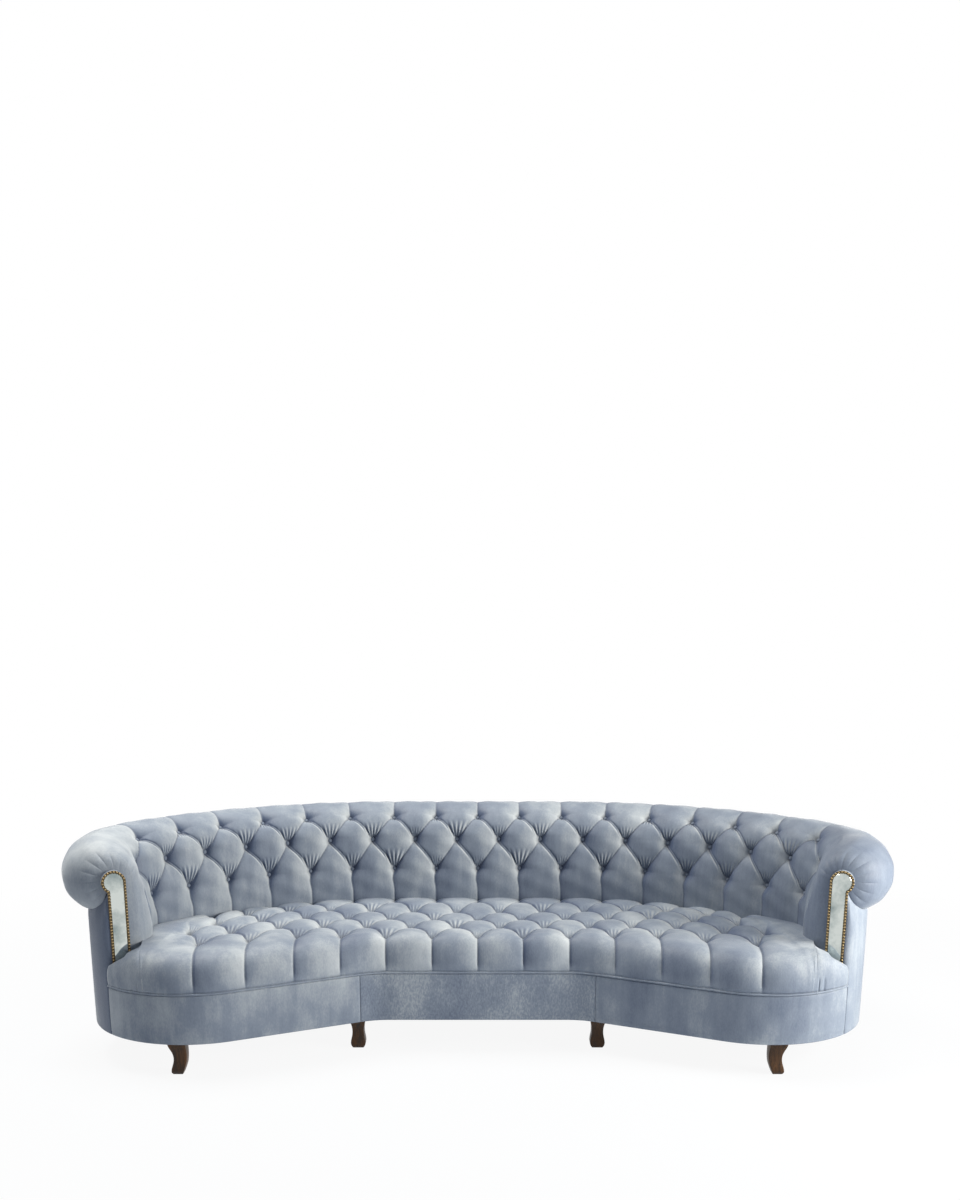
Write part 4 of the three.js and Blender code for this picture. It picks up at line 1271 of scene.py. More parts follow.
def choose(piece: Piece, wanted: Callable[[Vector], bool]) -> None:
    """Select the corners whose place is wanted, while the piece is being edited.

    Args:
        piece: The piece that is being edited.
        wanted: Says of a corner's place whether it is wanted.
    """
    bpy.ops.object.mode_set(mode="OBJECT")
    picked = [wanted(vertex.co) for vertex in piece.data.vertices]
    for part in (*piece.data.edges, *piece.data.polygons):
        part.select = all(picked[i] for i in part.vertices)
    for vertex, pick in zip(piece.data.vertices, picked):
        vertex.select = pick
    bpy.ops.object.mode_set(mode="EDIT")


def settle(piece: Piece) -> Piece:
    """Move a piece's place, turn and size into its mesh, with its faces outwards."""
    select_only(piece)
    bpy.ops.object.transform_apply(location=True, rotation=True, scale=True)
    start_shaping(piece, whole=True)
    bpy.ops.mesh.normals_make_consistent(inside=False)
    stop_shaping()
    return piece


def ease_edges(piece: Piece, width: float, segments: int, angle: float = 35.0) -> None:
    """Round a piece's sharp edges and shade it smooth up to them.

    Args:
        piece: The piece.
        width: Width of the rounding.
        segments: How many facets it has.
        angle: Angle in degrees above which an edge counts as sharp.
    """
    select_only(piece)
    modifier = piece.modifiers.new("eased", "BEVEL")
    modifier.width, modifier.segments = width, segments
    modifier.limit_method, modifier.angle_limit = "ANGLE", math.radians(angle)
    bpy.ops.object.modifier_apply(modifier=modifier.name)
    bpy.ops.object.shade_smooth_by_angle(angle=math.radians(42))


def copy_of(model: Piece, name: str, place: Matrix) -> Piece:
    """Copy a model, mesh and all, to a place."""
    copy = bpy.data.objects.new(name, model.data.copy())
    copy.matrix_world = place
    bpy.context.scene.collection.objects.link(copy)
    return copy


def copy_to(model: Piece, name: str, places: Iterable[Matrix]) -> Piece:
    """Copy a model to several places and join the copies into one piece.

    Args:
        model: The piece that is modelled once; it is removed afterwards.
        name: Name of the joined piece.
        places: Where each copy goes.

    Returns:
        The joined piece, with its place in its mesh.
    """
    select_only(*[copy_of(model, name, place) for place in places])
    bpy.ops.object.join()
    joined = bpy.context.object
    joined.name = joined.data.name = name
    bpy.data.objects.remove(model)
    return settle(joined)


def on_hand(sign: int, x: float, y: float, heading: float) -> Matrix:
    """Place of a right-hand piece in plan, or of its mirror image where the sign is -1."""
    turn = Matrix.Rotation(sign * heading, 4, "Z")
    return Matrix.Translation((sign * x, y, 0.0)) @ turn @ Matrix.Diagonal((sign, 1, 1, 1))


@dataclass(frozen=True)
class TuftButtons:
    """Velvet-covered buttons, one in the pit of every diamond's corners.

    Rows of buttons are given by their number and their outermost column.
    """

    inside: InsideUpholstery
    seat: SeatUpholstery
    radius: float = 0.0090
    height: float = 0.0052
    waist: float = 0.35
    tucked_rim: tuple[float, float, float] = (0.8, 0.8, 0.2)
    lift: float = 0.0105
    crease_lift: float = -0.002
    probe: float = 0.02
    back_rows: tuple[tuple[int, float], ...] = ((0, 9.0), (1, 8.5), (2, 8.0))
    seat_rows: tuple[tuple[int, float], ...] = ((0, 6.0), (1, 6.5), (2, 6.0), (3, 5.5), (4, 3.0))

    def model(self) -> Piece:
        """One domed button with a rolled rim, facing up at the origin."""
        select_only()
        bpy.ops.mesh.primitive_uv_sphere_add(segments=16, ring_count=10, radius=self.radius)
        piece = bpy.context.object
        waist = -self.radius * self.waist
        start_shaping(piece)
        choose(piece, lambda spot: spot.z < waist)
        resize(self.tucked_rim, (0.0, 0.0, waist))
        bpy.ops.mesh.select_all(action="SELECT")
        resize((1.0, 1.0, self.height / self.radius))
        stop_shaping()
        bpy.ops.object.shade_smooth()
        return piece

    def normal(self, place: float, length: float, upper: bool) -> Vector:
        """Outward direction of the untufted cover.

        Args:
            place: Signed place on the button line.
            length: Length up the profile.
            upper: Whether it is on top of the roll, where the cover faces away from the seat.

        Returns:
            The direction.
        """
        inset, height, _, _ = PLAN.profile(np.array([length, length, length + self.probe]))
        along = np.array([place, place + self.probe, place])
        x, y = PLAN.arm(along, inset, 0.0 * inset, np.zeros(3))
        bare = [Vector(corner) for corner in zip(x, y, height)]
        normal = (bare[1] - bare[0]).cross(bare[2] - bare[0]).normalized()
        if normal.dot(Vector((0.0, -0.2, 0.45)) - bare[0]) < 0 and not upper:
            normal.negate()
        return normal

    def back_spots(self) -> list[Matrix]:
        """Places of the buttons on back and arms."""
        spots = []
        for row, last in self.back_rows:
            for column in np.arange(-last, last + 0.5):
                place = column * self.inside.tufting.pitch
                length = self.inside.first_row + row * self.inside.tufting.row_pitch
                pit = self.inside.surface(np.array([[place]]), np.array([[length]]))[0][0, 0]
                normal = self.normal(place, length, row == self.inside.tufting.last_row)
                turn = normal.to_track_quat("Z", "Y").to_matrix().to_4x4()
                spots.append(Matrix.Translation(Vector(pit) + normal * self.lift) @ turn)
        return spots

    def seat_spots(self) -> list[Matrix]:
        """Places of the buttons on the seat; the last row is sunk in the crease at the back."""
        spots = []
        for row, last in self.seat_rows:
            lift = self.lift if row < self.seat.tufting.last_row else self.crease_lift
            for column in np.arange(-last, last + 0.5):
                pit = self.seat.surface(np.array([[column]]), np.array([[float(row)]]))[0][0, 0]
                spots.append(Matrix.Translation(Vector(pit) + Vector((0.0, 0.0, lift))))
        return spots

    def build(self) -> list[Piece]:
        """Model both sets of buttons."""
        return [
            copy_to(self.model(), "buttons_back", self.back_spots()),
            copy_to(self.model(), "buttons_seat", self.seat_spots()),
        ]

    def dress(self, pieces: list[Piece]) -> list[Piece]:
        """Cover the buttons in the same velvet, toned darker as painted shade for their pits."""
        # Painted shade: darker velvet tones for the buttons sunk in their pits.
        finish = Velvet("velvet_button_painted_shade", Nap.COMBED, "7d8796", "697384", "576174").material()
        return [put_on_body(piece, finish) for piece in pieces]


PANEL_EDGE = 0.0045  # rounding of a panel's upper and lower edges
SEAM_GAP = 0.0004  # between the end of a panel and the seam
SEAM_DEPTH = 0.0022  # how far a panel is drawn in at a seam
SEAM_RUN = 0.006  # length over which it is drawn in
SEAM_STEPS = np.array([0.0, 0.0012, 0.003, SEAM_RUN])


def panel_section(height: float, crown: float, hem: float) -> tuple[Array, Array]:
    """Section of a padded outside panel: out from its back face, up from its lower edge.

    Args:
        height: Height of the panel.
        crown: How far its middle stands out beyond its edges.
        hem: Height of the rolled hem along the lower edge, or 0 for none.

    Returns:
        Distance in from the outer face, and height.
    """
    corner = np.linspace(0.0, math.pi / 2, 5)
    rise = np.linspace(0.0, 1.0, 26)[1:-1]
    bead = ridge(rise * height, hem, 0.0022) * 0.0016 if hem else 0.0 * rise
    flank = crown * (1 - np.sin(math.pi * rise) ** 0.5) + bead
    low, high = PANEL_EDGE * (1 - np.sin(corner)), PANEL_EDGE * (1 - np.cos(corner))
    back = [COVER_THICKNESS]
    inset = np.concatenate([back, crown + low, flank, crown + high, back])
    middle = PANEL_EDGE + rise * (height - 2 * PANEL_EDGE)
    upper = height - PANEL_EDGE + PANEL_EDGE * np.sin(corner)
    return inset, np.concatenate([[0.0], high, middle, upper, [height]])


def panel_places(start: float, stop: float, step: float, skipped: int) -> tuple[Array, Array]:
    """Places along a panel between two seams, closer together at its ends.

    Args:
        start: Where the panel begins.
        stop: Where it ends.
        step: Distance between places away from the seams.
        skipped: How many even places make room for the close ones at each end.

    Returns:
        The places, and how far the panel is drawn in at each.
    """
    even = np.linspace(start + SEAM_GAP, stop - SEAM_GAP, int((stop - start) / step))
    ends = even[0] + SEAM_STEPS, even[-1] - SEAM_STEPS[::-1]
    place = np.concatenate([ends[0], even[skipped:-skipped], ends[1]])
    run = np.minimum(place - place[0], place[-1] - place)
    return place, SEAM_DEPTH * (1 - np.clip(run / SEAM_RUN, 0.0, 1.0) ** 0.5)


@dataclass(frozen=True)
class FrontBand:
    """Plain velvet band below the seat, sewn together from three lengths, and its piped welt."""

    plan: SofaPlan = PLAN
    top: float = 0.3197
    crown: float = 0.0012
    hem: float = 0.008
    welt_inset: float = 0.003
    welt_radius: float = 0.0046
    welt_steps: int = 420
    step: float = 0.008
    # Painted light on the left length of the band, and painted shade at the seams.
    left_nap: float = 0.22
    seam_shade: float = 0.45

    def lengths(self) -> dict[str, tuple[float, float]]:
        """Where each length of the band begins and ends along the front edge."""
        corner, _, end = self.plan.front_lengths
        return dict(zip(LENGTHS, ((-end, -corner), (-corner, corner), (corner, end))))

    def band(self, side: str, start: float, stop: float) -> Piece:
        """Model one length of the band, with its ends drawn in at the seams.

        Args:
            side: Which length it is.
            start: Where it begins along the front edge.
            stop: Where it ends.

        Returns:
            The piece.
        """
        place, drawn_in = panel_places(start, stop, self.step, 2)
        inset, level = panel_section(self.top - COVER_BOTTOM, self.crown, self.hem)
        drawn_in = drawn_in[:, None] * (inset < COVER_THICKNESS)
        x, y = self.plan.front(place[:, None], inset + drawn_in)
        # Painted shade where the band is drawn in at a seam, painted light on its left length.
        fold = drawn_in / SEAM_DEPTH * self.seam_shade
        tilt = np.full(fold.shape, self.left_nap if side == "left" else 0.0)
        return skin(f"band_cover_{side}", stack(x, y, COVER_BOTTOM + level), fold, tilt)

    def welt(self) -> Piece:
        """Model the piped welt, which bends with the band from facing to facing."""
        end = self.plan.front_lengths[2] - TOUCH
        place = np.linspace(-end, end, self.welt_steps)[:, None]
        turn = np.linspace(0.0, 2 * math.pi, 15)[:-1]
        x, y = self.plan.front(place, self.welt_inset + self.welt_radius * np.cos(turn))
        z = self.top + TOUCH + self.welt_radius + self.welt_radius * np.sin(turn)
        # Painted shade on the back half of the cord, where it sits against the band and seat.
        fold = np.clip(0.9 * np.cos(turn), 0.0, 1.0) * np.ones_like(place)
        return skin("welt_cord", stack(x, y, z), fold)

    def build(self) -> list[Piece]:
        """Model the three lengths and the welt."""
        bands = [self.band(side, *ends) for side, ends in self.lengths().items()]
        return bands + [self.welt()]

    def dress(self, pieces: list[Piece]) -> list[Piece]:
        """Cover them in velvet, whose pile lies differently in each length."""
        naps = (Nap.BRUSHED, Nap.CRUSHED, Nap.BRUSHED)
        for piece, side, nap in zip(pieces, LENGTHS, naps):
            put_on_body(piece, Velvet(f"velvet_band_{side}", nap).material())
            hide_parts(f"front_band_{side}")
        put_on_body(pieces[-1], Velvet("velvet_welt").material())
        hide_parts("seat_welt")
        return pieces


@dataclass(frozen=True)
class OutsideCovers:
    """Plain tight covers on the outside of back and arms, in five lengths."""

    plan: SofaPlan = PLAN
    crown: float = 0.0008
    back_split: float = 2.75 * BUTTON_PITCH
    arm_split: float = 6.75 * BUTTON_PITCH
    tuck: float = 0.007
    arm_tuck: float = 0.013
    step: float = 0.010
    corner_round: float = 0.055
    flap_depth: float = 0.0172
    # Painted shade: the left outside arm is painted darker, and the seams too.
    left_nap: float = -0.6
    seam_shade: float = 0.7

    def lengths(self) -> dict[str, tuple[float, float]]:
        """Where each cover begins and ends along the wall."""
        near, far, end = self.back_split, self.arm_split, self.plan.arm_length
        return {
            "outside_arm_left": (-end, -far),
            "outside_back_left": (-far, -near),
            "outside_back_middle": (-near, near),
            "outside_back_right": (near, far),
            "outside_arm_right": (far, end),
        }

    def section(self, place: Array) -> tuple[Array, Array]:
        """Sections of the cover, whose upper edge is tucked up behind the roll.

        Args:
            place: Places on the button line.

        Returns:
            Distance in from the outer face, and height.
        """
        ease = PANEL_EDGE
        inset, level = panel_section(1.0, self.crown, 0.0)
        drawn = self.plan.drawn(place)[:, None]
        edge = mix(self.plan.lip_height, self.plan.neck_height, drawn)
        height = edge + self.tuck - COVER_BOTTOM + self.arm_tuck * np.sqrt(drawn)
        rise = ease + (level - ease) / (1 - 2 * ease) * (height - 2 * ease)
        rise = np.where(level >= 1 - ease, height - (1 - level), rise)
        rise = np.where(level <= ease, level, rise)
        below = height - rise
        leaning = (self.plan.roll_inset - self.plan.outer_edge) * drawn * smooth(below, 0.12, 0.0)
        tucked = 0.006 * smooth(below, 0.03, 0.0)
        return inset + leaning + tucked, COVER_BOTTOM + rise

    def cover(self, name: str, start: float, stop: float) -> Piece:
        """Model one cover, drawn in at its seams; an arm's also turns in to the facing.

        Args:
            name: Name of the node that it replaces.
            start: Where it begins along the wall.
            stop: Where it ends.

        Returns:
            The piece.
        """
        low, high = sorted((abs(start), abs(stop))) if start * stop > 0 else (start, stop)
        place, drawn_in = panel_places(low, high, self.step, 1)
        inset, z = self.section(place)
        on_arm = "arm" in name
        drawn_in = drawn_in[:, None] * (z < (FACING_BOTTOM if on_arm else math.inf))
        drawn_in = drawn_in * (inset < inset.max(axis=1, keepdims=True))
        x, y = self.plan.wall(place[:, None], inset + drawn_in)
        # Painted shade where a cover is drawn in at a seam.
        fold = drawn_in / SEAM_DEPTH * self.seam_shade
        if on_arm:
            x, y, z, fold = self.turned_in(place, (x, y, z, fold))
        side = -1.0 if name.endswith("left") else 1.0
        # Painted shade: the left outside arm cover is darker all over.
        tilt = np.full_like(fold, self.left_nap if name == "outside_arm_left" else 0.0)
        return skin(name.replace("outside", "cover"), stack(x * side, y, z), fold, tilt)

    def turned_in(self, place: Array, made: tuple[Array, ...]) -> tuple[Array, ...]:
        """Carry a right-hand arm cover round the front of the arm to the edge of its facing.

        Args:
            place: Places on the button line.
            made: Frame X, Y and Z of the cover's corners, and the painted shade at each.

        Returns:
            The same with the corners of the turned part.
        """
        x, y, z, fold = made
        thick = panel_section(1.0, self.crown, 0.0)[0]
        edge = self.plan.facing(-self.plan.outer_edge, self.flap_depth - thick)
        along = np.linspace(0.0, 1.0, 14)[1:, None]
        plain = len(thick) // 2
        length = math.hypot(edge[0][plain] - x[-1, plain], edge[1][plain] - y[-1, plain])
        gain = self.plan.lobe_radius / (self.plan.lobe_radius - self.plan.button_line)
        run = np.concatenate([(place - place[-1]) * gain, along[:, 0] * length])
        share = (run + self.corner_round) / (self.corner_round + length)
        share = np.clip(share, 0.0, 1.0)[:, None]
        z = np.concatenate([z, np.repeat(z[-1:], len(along), axis=0)])
        fold = np.concatenate([fold, np.zeros((len(along), fold.shape[1]))])
        neck = self.plan.neck_height
        eased = smooth(z, FACING_BOTTOM - 0.01, FACING_BOTTOM + 0.05) * (share > 0)
        eased = eased * (1 - smooth(z, neck - 0.075, neck - 0.005))
        turned = []
        for values, end in zip((x, y), edge):
            whole = np.concatenate([values, mix(values[-1:], end, along)])
            before = np.array([np.interp(-self.corner_round, run, column) for column in whole.T])
            curve = (1 - share) ** 2 * before + 2 * share * (1 - share) * values[-1:]
            turned.append(mix(whole, curve + share**2 * end, eased))
        return turned[0], turned[1], z, fold

    def build(self) -> list[Piece]:
        """Model the five covers."""
        return [self.cover(name, *ends) for name, ends in self.lengths().items()]

    def dress(self, pieces: list[Piece]) -> list[Piece]:
        """Cover them in velvet, combed downwards."""
        finish = Velvet("velvet_outside").material()
        for piece, name in zip(pieces, self.lengths()):
            put_on_body(piece, finish)
            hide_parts(name)
        return pieces


@dataclass(frozen=True)
class ArmFacings:
    """Keyhole arm facings: an upholstered board, a mirror, and a strip of domed nails."""

    plan: SofaPlan = PLAN
    board: float = 0.018
    board_round: float = 0.005
    glass: float = 0.004
    glass_bevel: float = 0.0014
    strip_width: float = 0.009
    strip: float = 0.0016
    nail_radius: float = 0.0046
    nail_height: float = 0.0036
    nail_pitch: float = 0.0114

    @property
    def board_front(self) -> float:
        """Depth at which mirror and strip lie on the board."""
        return self.board + 2 * TOUCH

    def keyhole_plate(self, name: str, inset: float, back: float, front: float) -> Piece:
        """Model a keyhole-shaped plate from a disc.

        The lower arc of the disc is flattened and drawn down into the column; then the plate
        gets its thickness.

        Args:
            name: Name of the plate.
            inset: How far its outline lies in from the facing's outline.
            back: Depth of its rear face, in front of the arm.
            front: Depth of its front face.

        Returns:
            The plate, facing -Y at the head's axis, with the outer side along +X.
        """
        radius, outer = self.plan.head_radius - inset, self.plan.outer_edge - inset
        upright = (math.pi / 2, 0, 0)
        select_only()
        bpy.ops.mesh.primitive_circle_add(
            vertices=96, radius=radius, fill_type="NGON", rotation=upright
        )
        piece = bpy.context.object
        piece.name = piece.data.name = name
        bpy.ops.object.transform_apply(location=False, rotation=True, scale=False)
        start_shaping(piece)
        neck = -math.acos(outer / radius)

        def on_lower_arc(spot: Vector) -> bool:
            """Whether a corner lies between the column's two upper ends."""
            angle = math.atan2(spot.z, spot.x)
            return angle < neck or angle > math.pi - 1e-4

        choose(piece, on_lower_arc)
        low = FACING_BOTTOM + inset - self.plan.roll_centre
        resize((1.0, 1.0, 0.0), (0.0, 0.0, low))
        stop_shaping()
        self.straighten(piece, radius, outer, low)
        start_shaping(piece, whole=True)
        bpy.ops.mesh.extrude_region_move(TRANSFORM_OT_translate={"value": (0, back - front, 0)})
        bpy.ops.mesh.select_all(action="SELECT")
        bpy.ops.transform.translate(value=(0.0, -back, self.plan.roll_centre))
        bpy.ops.mesh.normals_make_consistent(inside=False)
        stop_shaping()
        return piece

    def straighten(self, piece: Piece, radius: float, outer: float, low: float) -> None:
        """Spread the flattened corners evenly along the column's lower edge.

        Args:
            piece: The plate.
            radius: Radius of its head.
            outer: How far its outer side lies from the head's axis.
            low: Height of the lower edge under the head's axis.
        """
        flat = [vertex for vertex in piece.data.vertices if abs(vertex.co.z - low) < 1e-6]
        for i, vertex in enumerate(sorted(flat, key=lambda corner: corner.co.x)):
            vertex.co.x = mix(-radius, outer, i / (len(flat) - 1))

    def board_piece(self, side: str) -> Piece:
        """Model the upholstered board, a flat pad rolled at its edge."""
        piece = self.keyhole_plate(f"facing_board_{side}", TOUCH, TOUCH, self.board + TOUCH)
        ease_edges(piece, self.board_round, 4)
        return piece

    def mirror_piece(self, side: str) -> Piece:
        """Model the mirror with a narrow bevel."""
        inset, back = self.strip_width + TOUCH, self.board_front
        piece = self.keyhole_plate(f"facing_glass_{side}", inset, back, back + self.glass)
        ease_edges(piece, self.glass_bevel, 1)
        return piece

    def strip_piece(self, side: str) -> Piece:
        """Model the flat metal strip round the mirror, cut out by an inset."""
        back = self.board_front
        piece = self.keyhole_plate(f"facing_strip_{side}", 0.0, back, back + self.strip)
        for depth in (back, back + self.strip):
            start_shaping(piece)
            bpy.ops.mesh.select_mode(type="FACE")
            stop_shaping()
            for face in piece.data.polygons:
                face.select = len(face.vertices) > 8 and abs(face.center.y + depth) < 1e-5
            bpy.ops.object.mode_set(mode="EDIT")
            bpy.ops.mesh.inset(thickness=self.strip_width, depth=0.0)
            bpy.ops.mesh.delete(type="FACE")
            stop_shaping()
        start_shaping(piece)
        bpy.ops.mesh.select_mode(type="VERT")
        bpy.ops.mesh.select_all(action="DESELECT")
        bpy.ops.mesh.select_non_manifold()
        bpy.ops.mesh.bridge_edge_loops()
        stop_shaping()
        return piece

    def nail_row(self, count: int) -> list[tuple[float, float]]:
        """Evenly stepped places round the keyhole, along the middle of the strip.

        Args:
            count: How many there are.

        Returns:
            Place across, with outwards along +X, and height of each.
        """
        inset = self.strip_width / 2
        radius, outer = self.plan.head_radius - inset, self.plan.outer_edge - inset
        turn = np.linspace(math.pi, -math.acos(outer / radius), 120)
        low = FACING_BOTTOM + inset
        x = np.concatenate([[outer, -radius], radius * np.cos(turn), [outer]])
        z = np.concatenate([[low, low], self.plan.roll_centre + radius * np.sin(turn), [low]])
        run = line_length(x, z)
        even = np.linspace(0.0, run[-1], count + 1)[:-1]
        return list(zip(np.interp(even, run, x), np.interp(even, run, z)))

    def nails(self, side: str) -> Piece:
        """Model the row of domed nails from one domed head."""
        select_only()
        bpy.ops.mesh.primitive_uv_sphere_add(segments=12, ring_count=8, radius=self.nail_radius)
        nail = bpy.context.object
        start_shaping(nail, whole=True)
        bpy.ops.mesh.bisect(
            plane_co=(0, 0, 0), plane_no=(0, 0, 1), clear_inner=True, use_fill=True
        )
        bpy.ops.mesh.select_all(action="SELECT")
        resize((1, 1, self.nail_height / self.nail_radius))
        stop_shaping()
        layer = nail.data.attributes.new("rubbed", "FLOAT", "POINT")
        rubbed = [min(1.0, vertex.co.z / self.nail_height) for vertex in nail.data.vertices]
        layer.data.foreach_set("value", rubbed)
        bpy.ops.object.shade_smooth_by_angle(angle=math.radians(60))
        fine = self.nail_row(400)
        around = sum(math.dist(*pair) for pair in zip(fine, fine[1:] + fine[:1]))
        front, turn = self.board_front + self.strip, Matrix.Rotation(math.pi / 2, 4, "X")
        row = self.nail_row(round(around / self.nail_pitch))
        spots = [Matrix.Translation((x, -front, z)) @ turn for x, z in row]
        return copy_to(nail, f"facing_nails_{side}", spots)

    def build(self) -> dict[str, list[Piece]]:
        """Model board, mirror, strip and nails on both sides, turned into the facings' planes."""
        makers = (self.board_piece, self.mirror_piece, self.strip_piece, self.nails)
        made = {}
        for side, sign in HANDS:
            made[side] = [maker(side) for maker in makers]
            for piece in made[side]:
                piece.matrix_world = on_hand(sign, *self.plan.head, -self.plan.facing_turn)
                settle(piece)
        return made

    def dress(self, made: dict[str, list[Piece]]) -> list[Piece]:
        """Velvet for the boards, silvering for the mirrors, aged brass for strips and nails."""
        velvet = Velvet("velvet_facing").material()
        silver, brass = Silvering().material(), Metal().material()
        for side, (board, mirror, *metal) in made.items():
            put_on_body(board, velvet)
            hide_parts(f"arm_facing_{side}")
            put_on_body(mirror, silver)
            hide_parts(f"facing_mirror_{side}")
            for piece in metal:
                put_on_body(piece, brass)
                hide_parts(f"nailhead_trim_{side}")
        return [piece for pieces in made.values() for piece in pieces]


class LegSpot(Enum):
    """The four legs of one side, by the part of their node's name that tells them apart."""

    FRONT_INNER = "front_inner"
    FRONT_OUTER = "front_outer"
    REAR_INNER = "rear_inner"
    REAR_OUTER = "rear_outer"


@dataclass(frozen=True)
class SawnLegs:
    """Eight sawn cabriole legs in espresso stain: a leaning calf, an ankle and a kicked toe."""

    plan: SofaPlan = PLAN
    height: float = 0.1327
    top: float = 0.064
    ankle: float = 0.045
    foot: float = 0.058
    sole: float = 0.042
    lean: float = 0.020
    inset: float = 0.075
    levels: int = 16
    curve_steps: int = 30
    ease: float = 0.003
    rear_angle: float = math.radians(50)

    def edge(self, last: float, *curves: Sequence[tuple[float, float]]) -> tuple[Array, Array]:
        """One edge of the leg, on cubic curves from its top down to the floor.

        Args:
            last: Where it meets the floor.
            curves: Four spots for each curve: place, and share of the leg's height.

        Returns:
            Places and their heights.
        """
        t = np.linspace(0.0, 1.0, self.curve_steps)[:, None]
        lines = []
        for spots in curves:
            a, b, c, d = (np.array((place, share * self.height)) for place, share in spots)
            line = (1 - t) ** 3 * a + 3 * (1 - t) ** 2 * t * b + 3 * (1 - t) * t**2 * c + t**3 * d
            lines.append(line[1:] if lines else line)
        whole = np.concatenate(lines + [np.array([[last, 0.0]])])
        return whole[:, 0], whole[:, 1]

    def sections(self) -> list[tuple[float, ...]]:
        """Heel, toe, half width and height of the leg's sections, from the top down."""
        half, lean, ankle, foot = self.top / 2, self.lean, self.ankle / 2, self.foot / 2
        shin, toe = half - lean, half - lean / 2
        edges = (
            self.edge(
                toe - self.sole,
                ((-half, 1), (-half - lean / 4, 0.75), (-half - lean / 2, 0.5), (-half, 0.25)),
            ),
            self.edge(
                toe - self.sole / 8,
                ((half, 1), (half, 0.75), (shin, 0.7), (shin, 0.45)),
                ((shin, 0.45), (shin, 0.3), (toe, 0.2), (toe, 0.06)),
            ),
            self.edge(
                self.sole / 2,
                ((half, 1), (half, 0.8), (ankle, 0.75), (ankle, 0.5)),
                ((ankle, 0.5), (ankle, 0.3), (foot, 0.3), (foot, 0.12)),
            ),
        )
        high = self.height
        levels = np.concatenate([np.linspace(high, 0.1 * high, self.levels), [0.06 * high, 0.0]])
        return [
            (*(float(np.interp(z, rise[::-1], line[::-1])) for line, rise in edges), float(z))
            for z in levels
        ]

    def model(self) -> Piece:
        """Model one leg by extruding its top face down through its sections."""
        sections = self.sections()
        heel, toe, half, high = sections[0]
        select_only()
        bpy.ops.mesh.primitive_plane_add(size=1.0, location=(0.0, 0.0, 0.0))
        piece = bpy.context.object
        start_shaping(piece, whole=True)
        resize((toe - heel, 2 * half, 1.0))
        bpy.ops.transform.translate(value=((toe + heel) / 2, 0.0, high))
        for (heel0, toe0, half0, z0), (heel1, toe1, half1, z1) in zip(sections, sections[1:]):
            step = ((toe1 + heel1 - toe0 - heel0) / 2, 0.0, z1 - z0)
            bpy.ops.mesh.extrude_region_move(TRANSFORM_OT_translate={"value": step})
            size = ((toe1 - heel1) / (toe0 - heel0), half1 / half0, 1.0)
            resize(size, ((toe1 + heel1) / 2, 0.0, z1))
        bpy.ops.mesh.select_all(action="SELECT")
        bpy.ops.mesh.normals_make_consistent(inside=False)
        stop_shaping()
        ease_edges(piece, self.ease, 3, 50.0)
        return piece

    def places(self) -> dict[LegSpot, tuple[float, float, float]]:
        """Plan point and heading of the legs on the right."""
        plan, quarter = self.plan, math.pi / 2
        reach = plan.lobe_radius - self.inset
        x, y = plan.lobe[0], plan.lobe[1] + plan.shift
        inner_x, inner_y = plan.wall(plan.front_lengths[0], self.inset)
        sine, cosine = math.sin(self.rear_angle), math.cos(self.rear_angle)
        front_x, front_y = plan.corner_end[0] + self.lean, self.inset + plan.shift
        return {
            LegSpot.FRONT_INNER: (front_x, front_y, -quarter),
            LegSpot.FRONT_OUTER: (x + self.top / 2, y - reach, 0.0),
            LegSpot.REAR_INNER: (float(inner_x), float(inner_y), quarter),
            LegSpot.REAR_OUTER: (x + reach * sine, y + reach * cosine, quarter - self.rear_angle),
        }

    def build(self) -> list[Piece]:
        """Model the eight legs."""
        model = self.model()
        made = [
            settle(copy_of(model, f"sawn_leg_{spot.value}_{side}", on_hand(sign, *place)))
            for side, sign in HANDS
            for spot, place in self.places().items()
        ]
        bpy.data.objects.remove(model)
        return made

    def dress(self, legs: list[Piece]) -> list[Piece]:
        """Stain them dark and let each stand for its node."""
        finish = Timber("espresso", "52371f", "291a0d", 0.36).material()
        for leg in legs:
            put_on_body(leg, finish)
            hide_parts(leg.name.replace("sawn_", ""))
        return legs


@dataclass(frozen=True)
class InnerFrame:
    """The frame's own nodes: rails and posts of hardwood, webbing and bottom cloth."""

    hardwood: Timber = Timber("hardwood_bare", "c7ab82", "9b7c54", 0.55, (0.15, 0.15, 1.0))
    webbing: Weave = Weave("jute_webbing", "a08c68", "6d5c42", 90.0)
    cambric: Weave = Weave("cambric_black", "1b1b1d", "2c2c30", 260.0)
    timbers: tuple[str, ...] = (
        "base_rail", "top_rail", "front_rail", "cross_rail", "back_post", "arm_post"
    )

    def dress(self) -> int:
        """Give every node that stays its finish.

        Returns:
            How many nodes were dressed.
        """
        finishes = {
            self.timbers: self.hardwood.material(),
            ("webbing",): self.webbing.material(),
            ("bottom_cloth",): self.cambric.material(),
        }
        dressed = 0
        for name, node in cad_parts.items():
            for starts, finish in finishes.items():
                if name.startswith(starts):
                    for slot in node.material_slots:
                        slot.material = finish
                    dressed += 1
        return dressed


@dataclass(frozen=True)
class SoftLamp:
    """One square soft lamp."""

    name: str
    place: tuple[float, float, float]
    size: float
    power: float


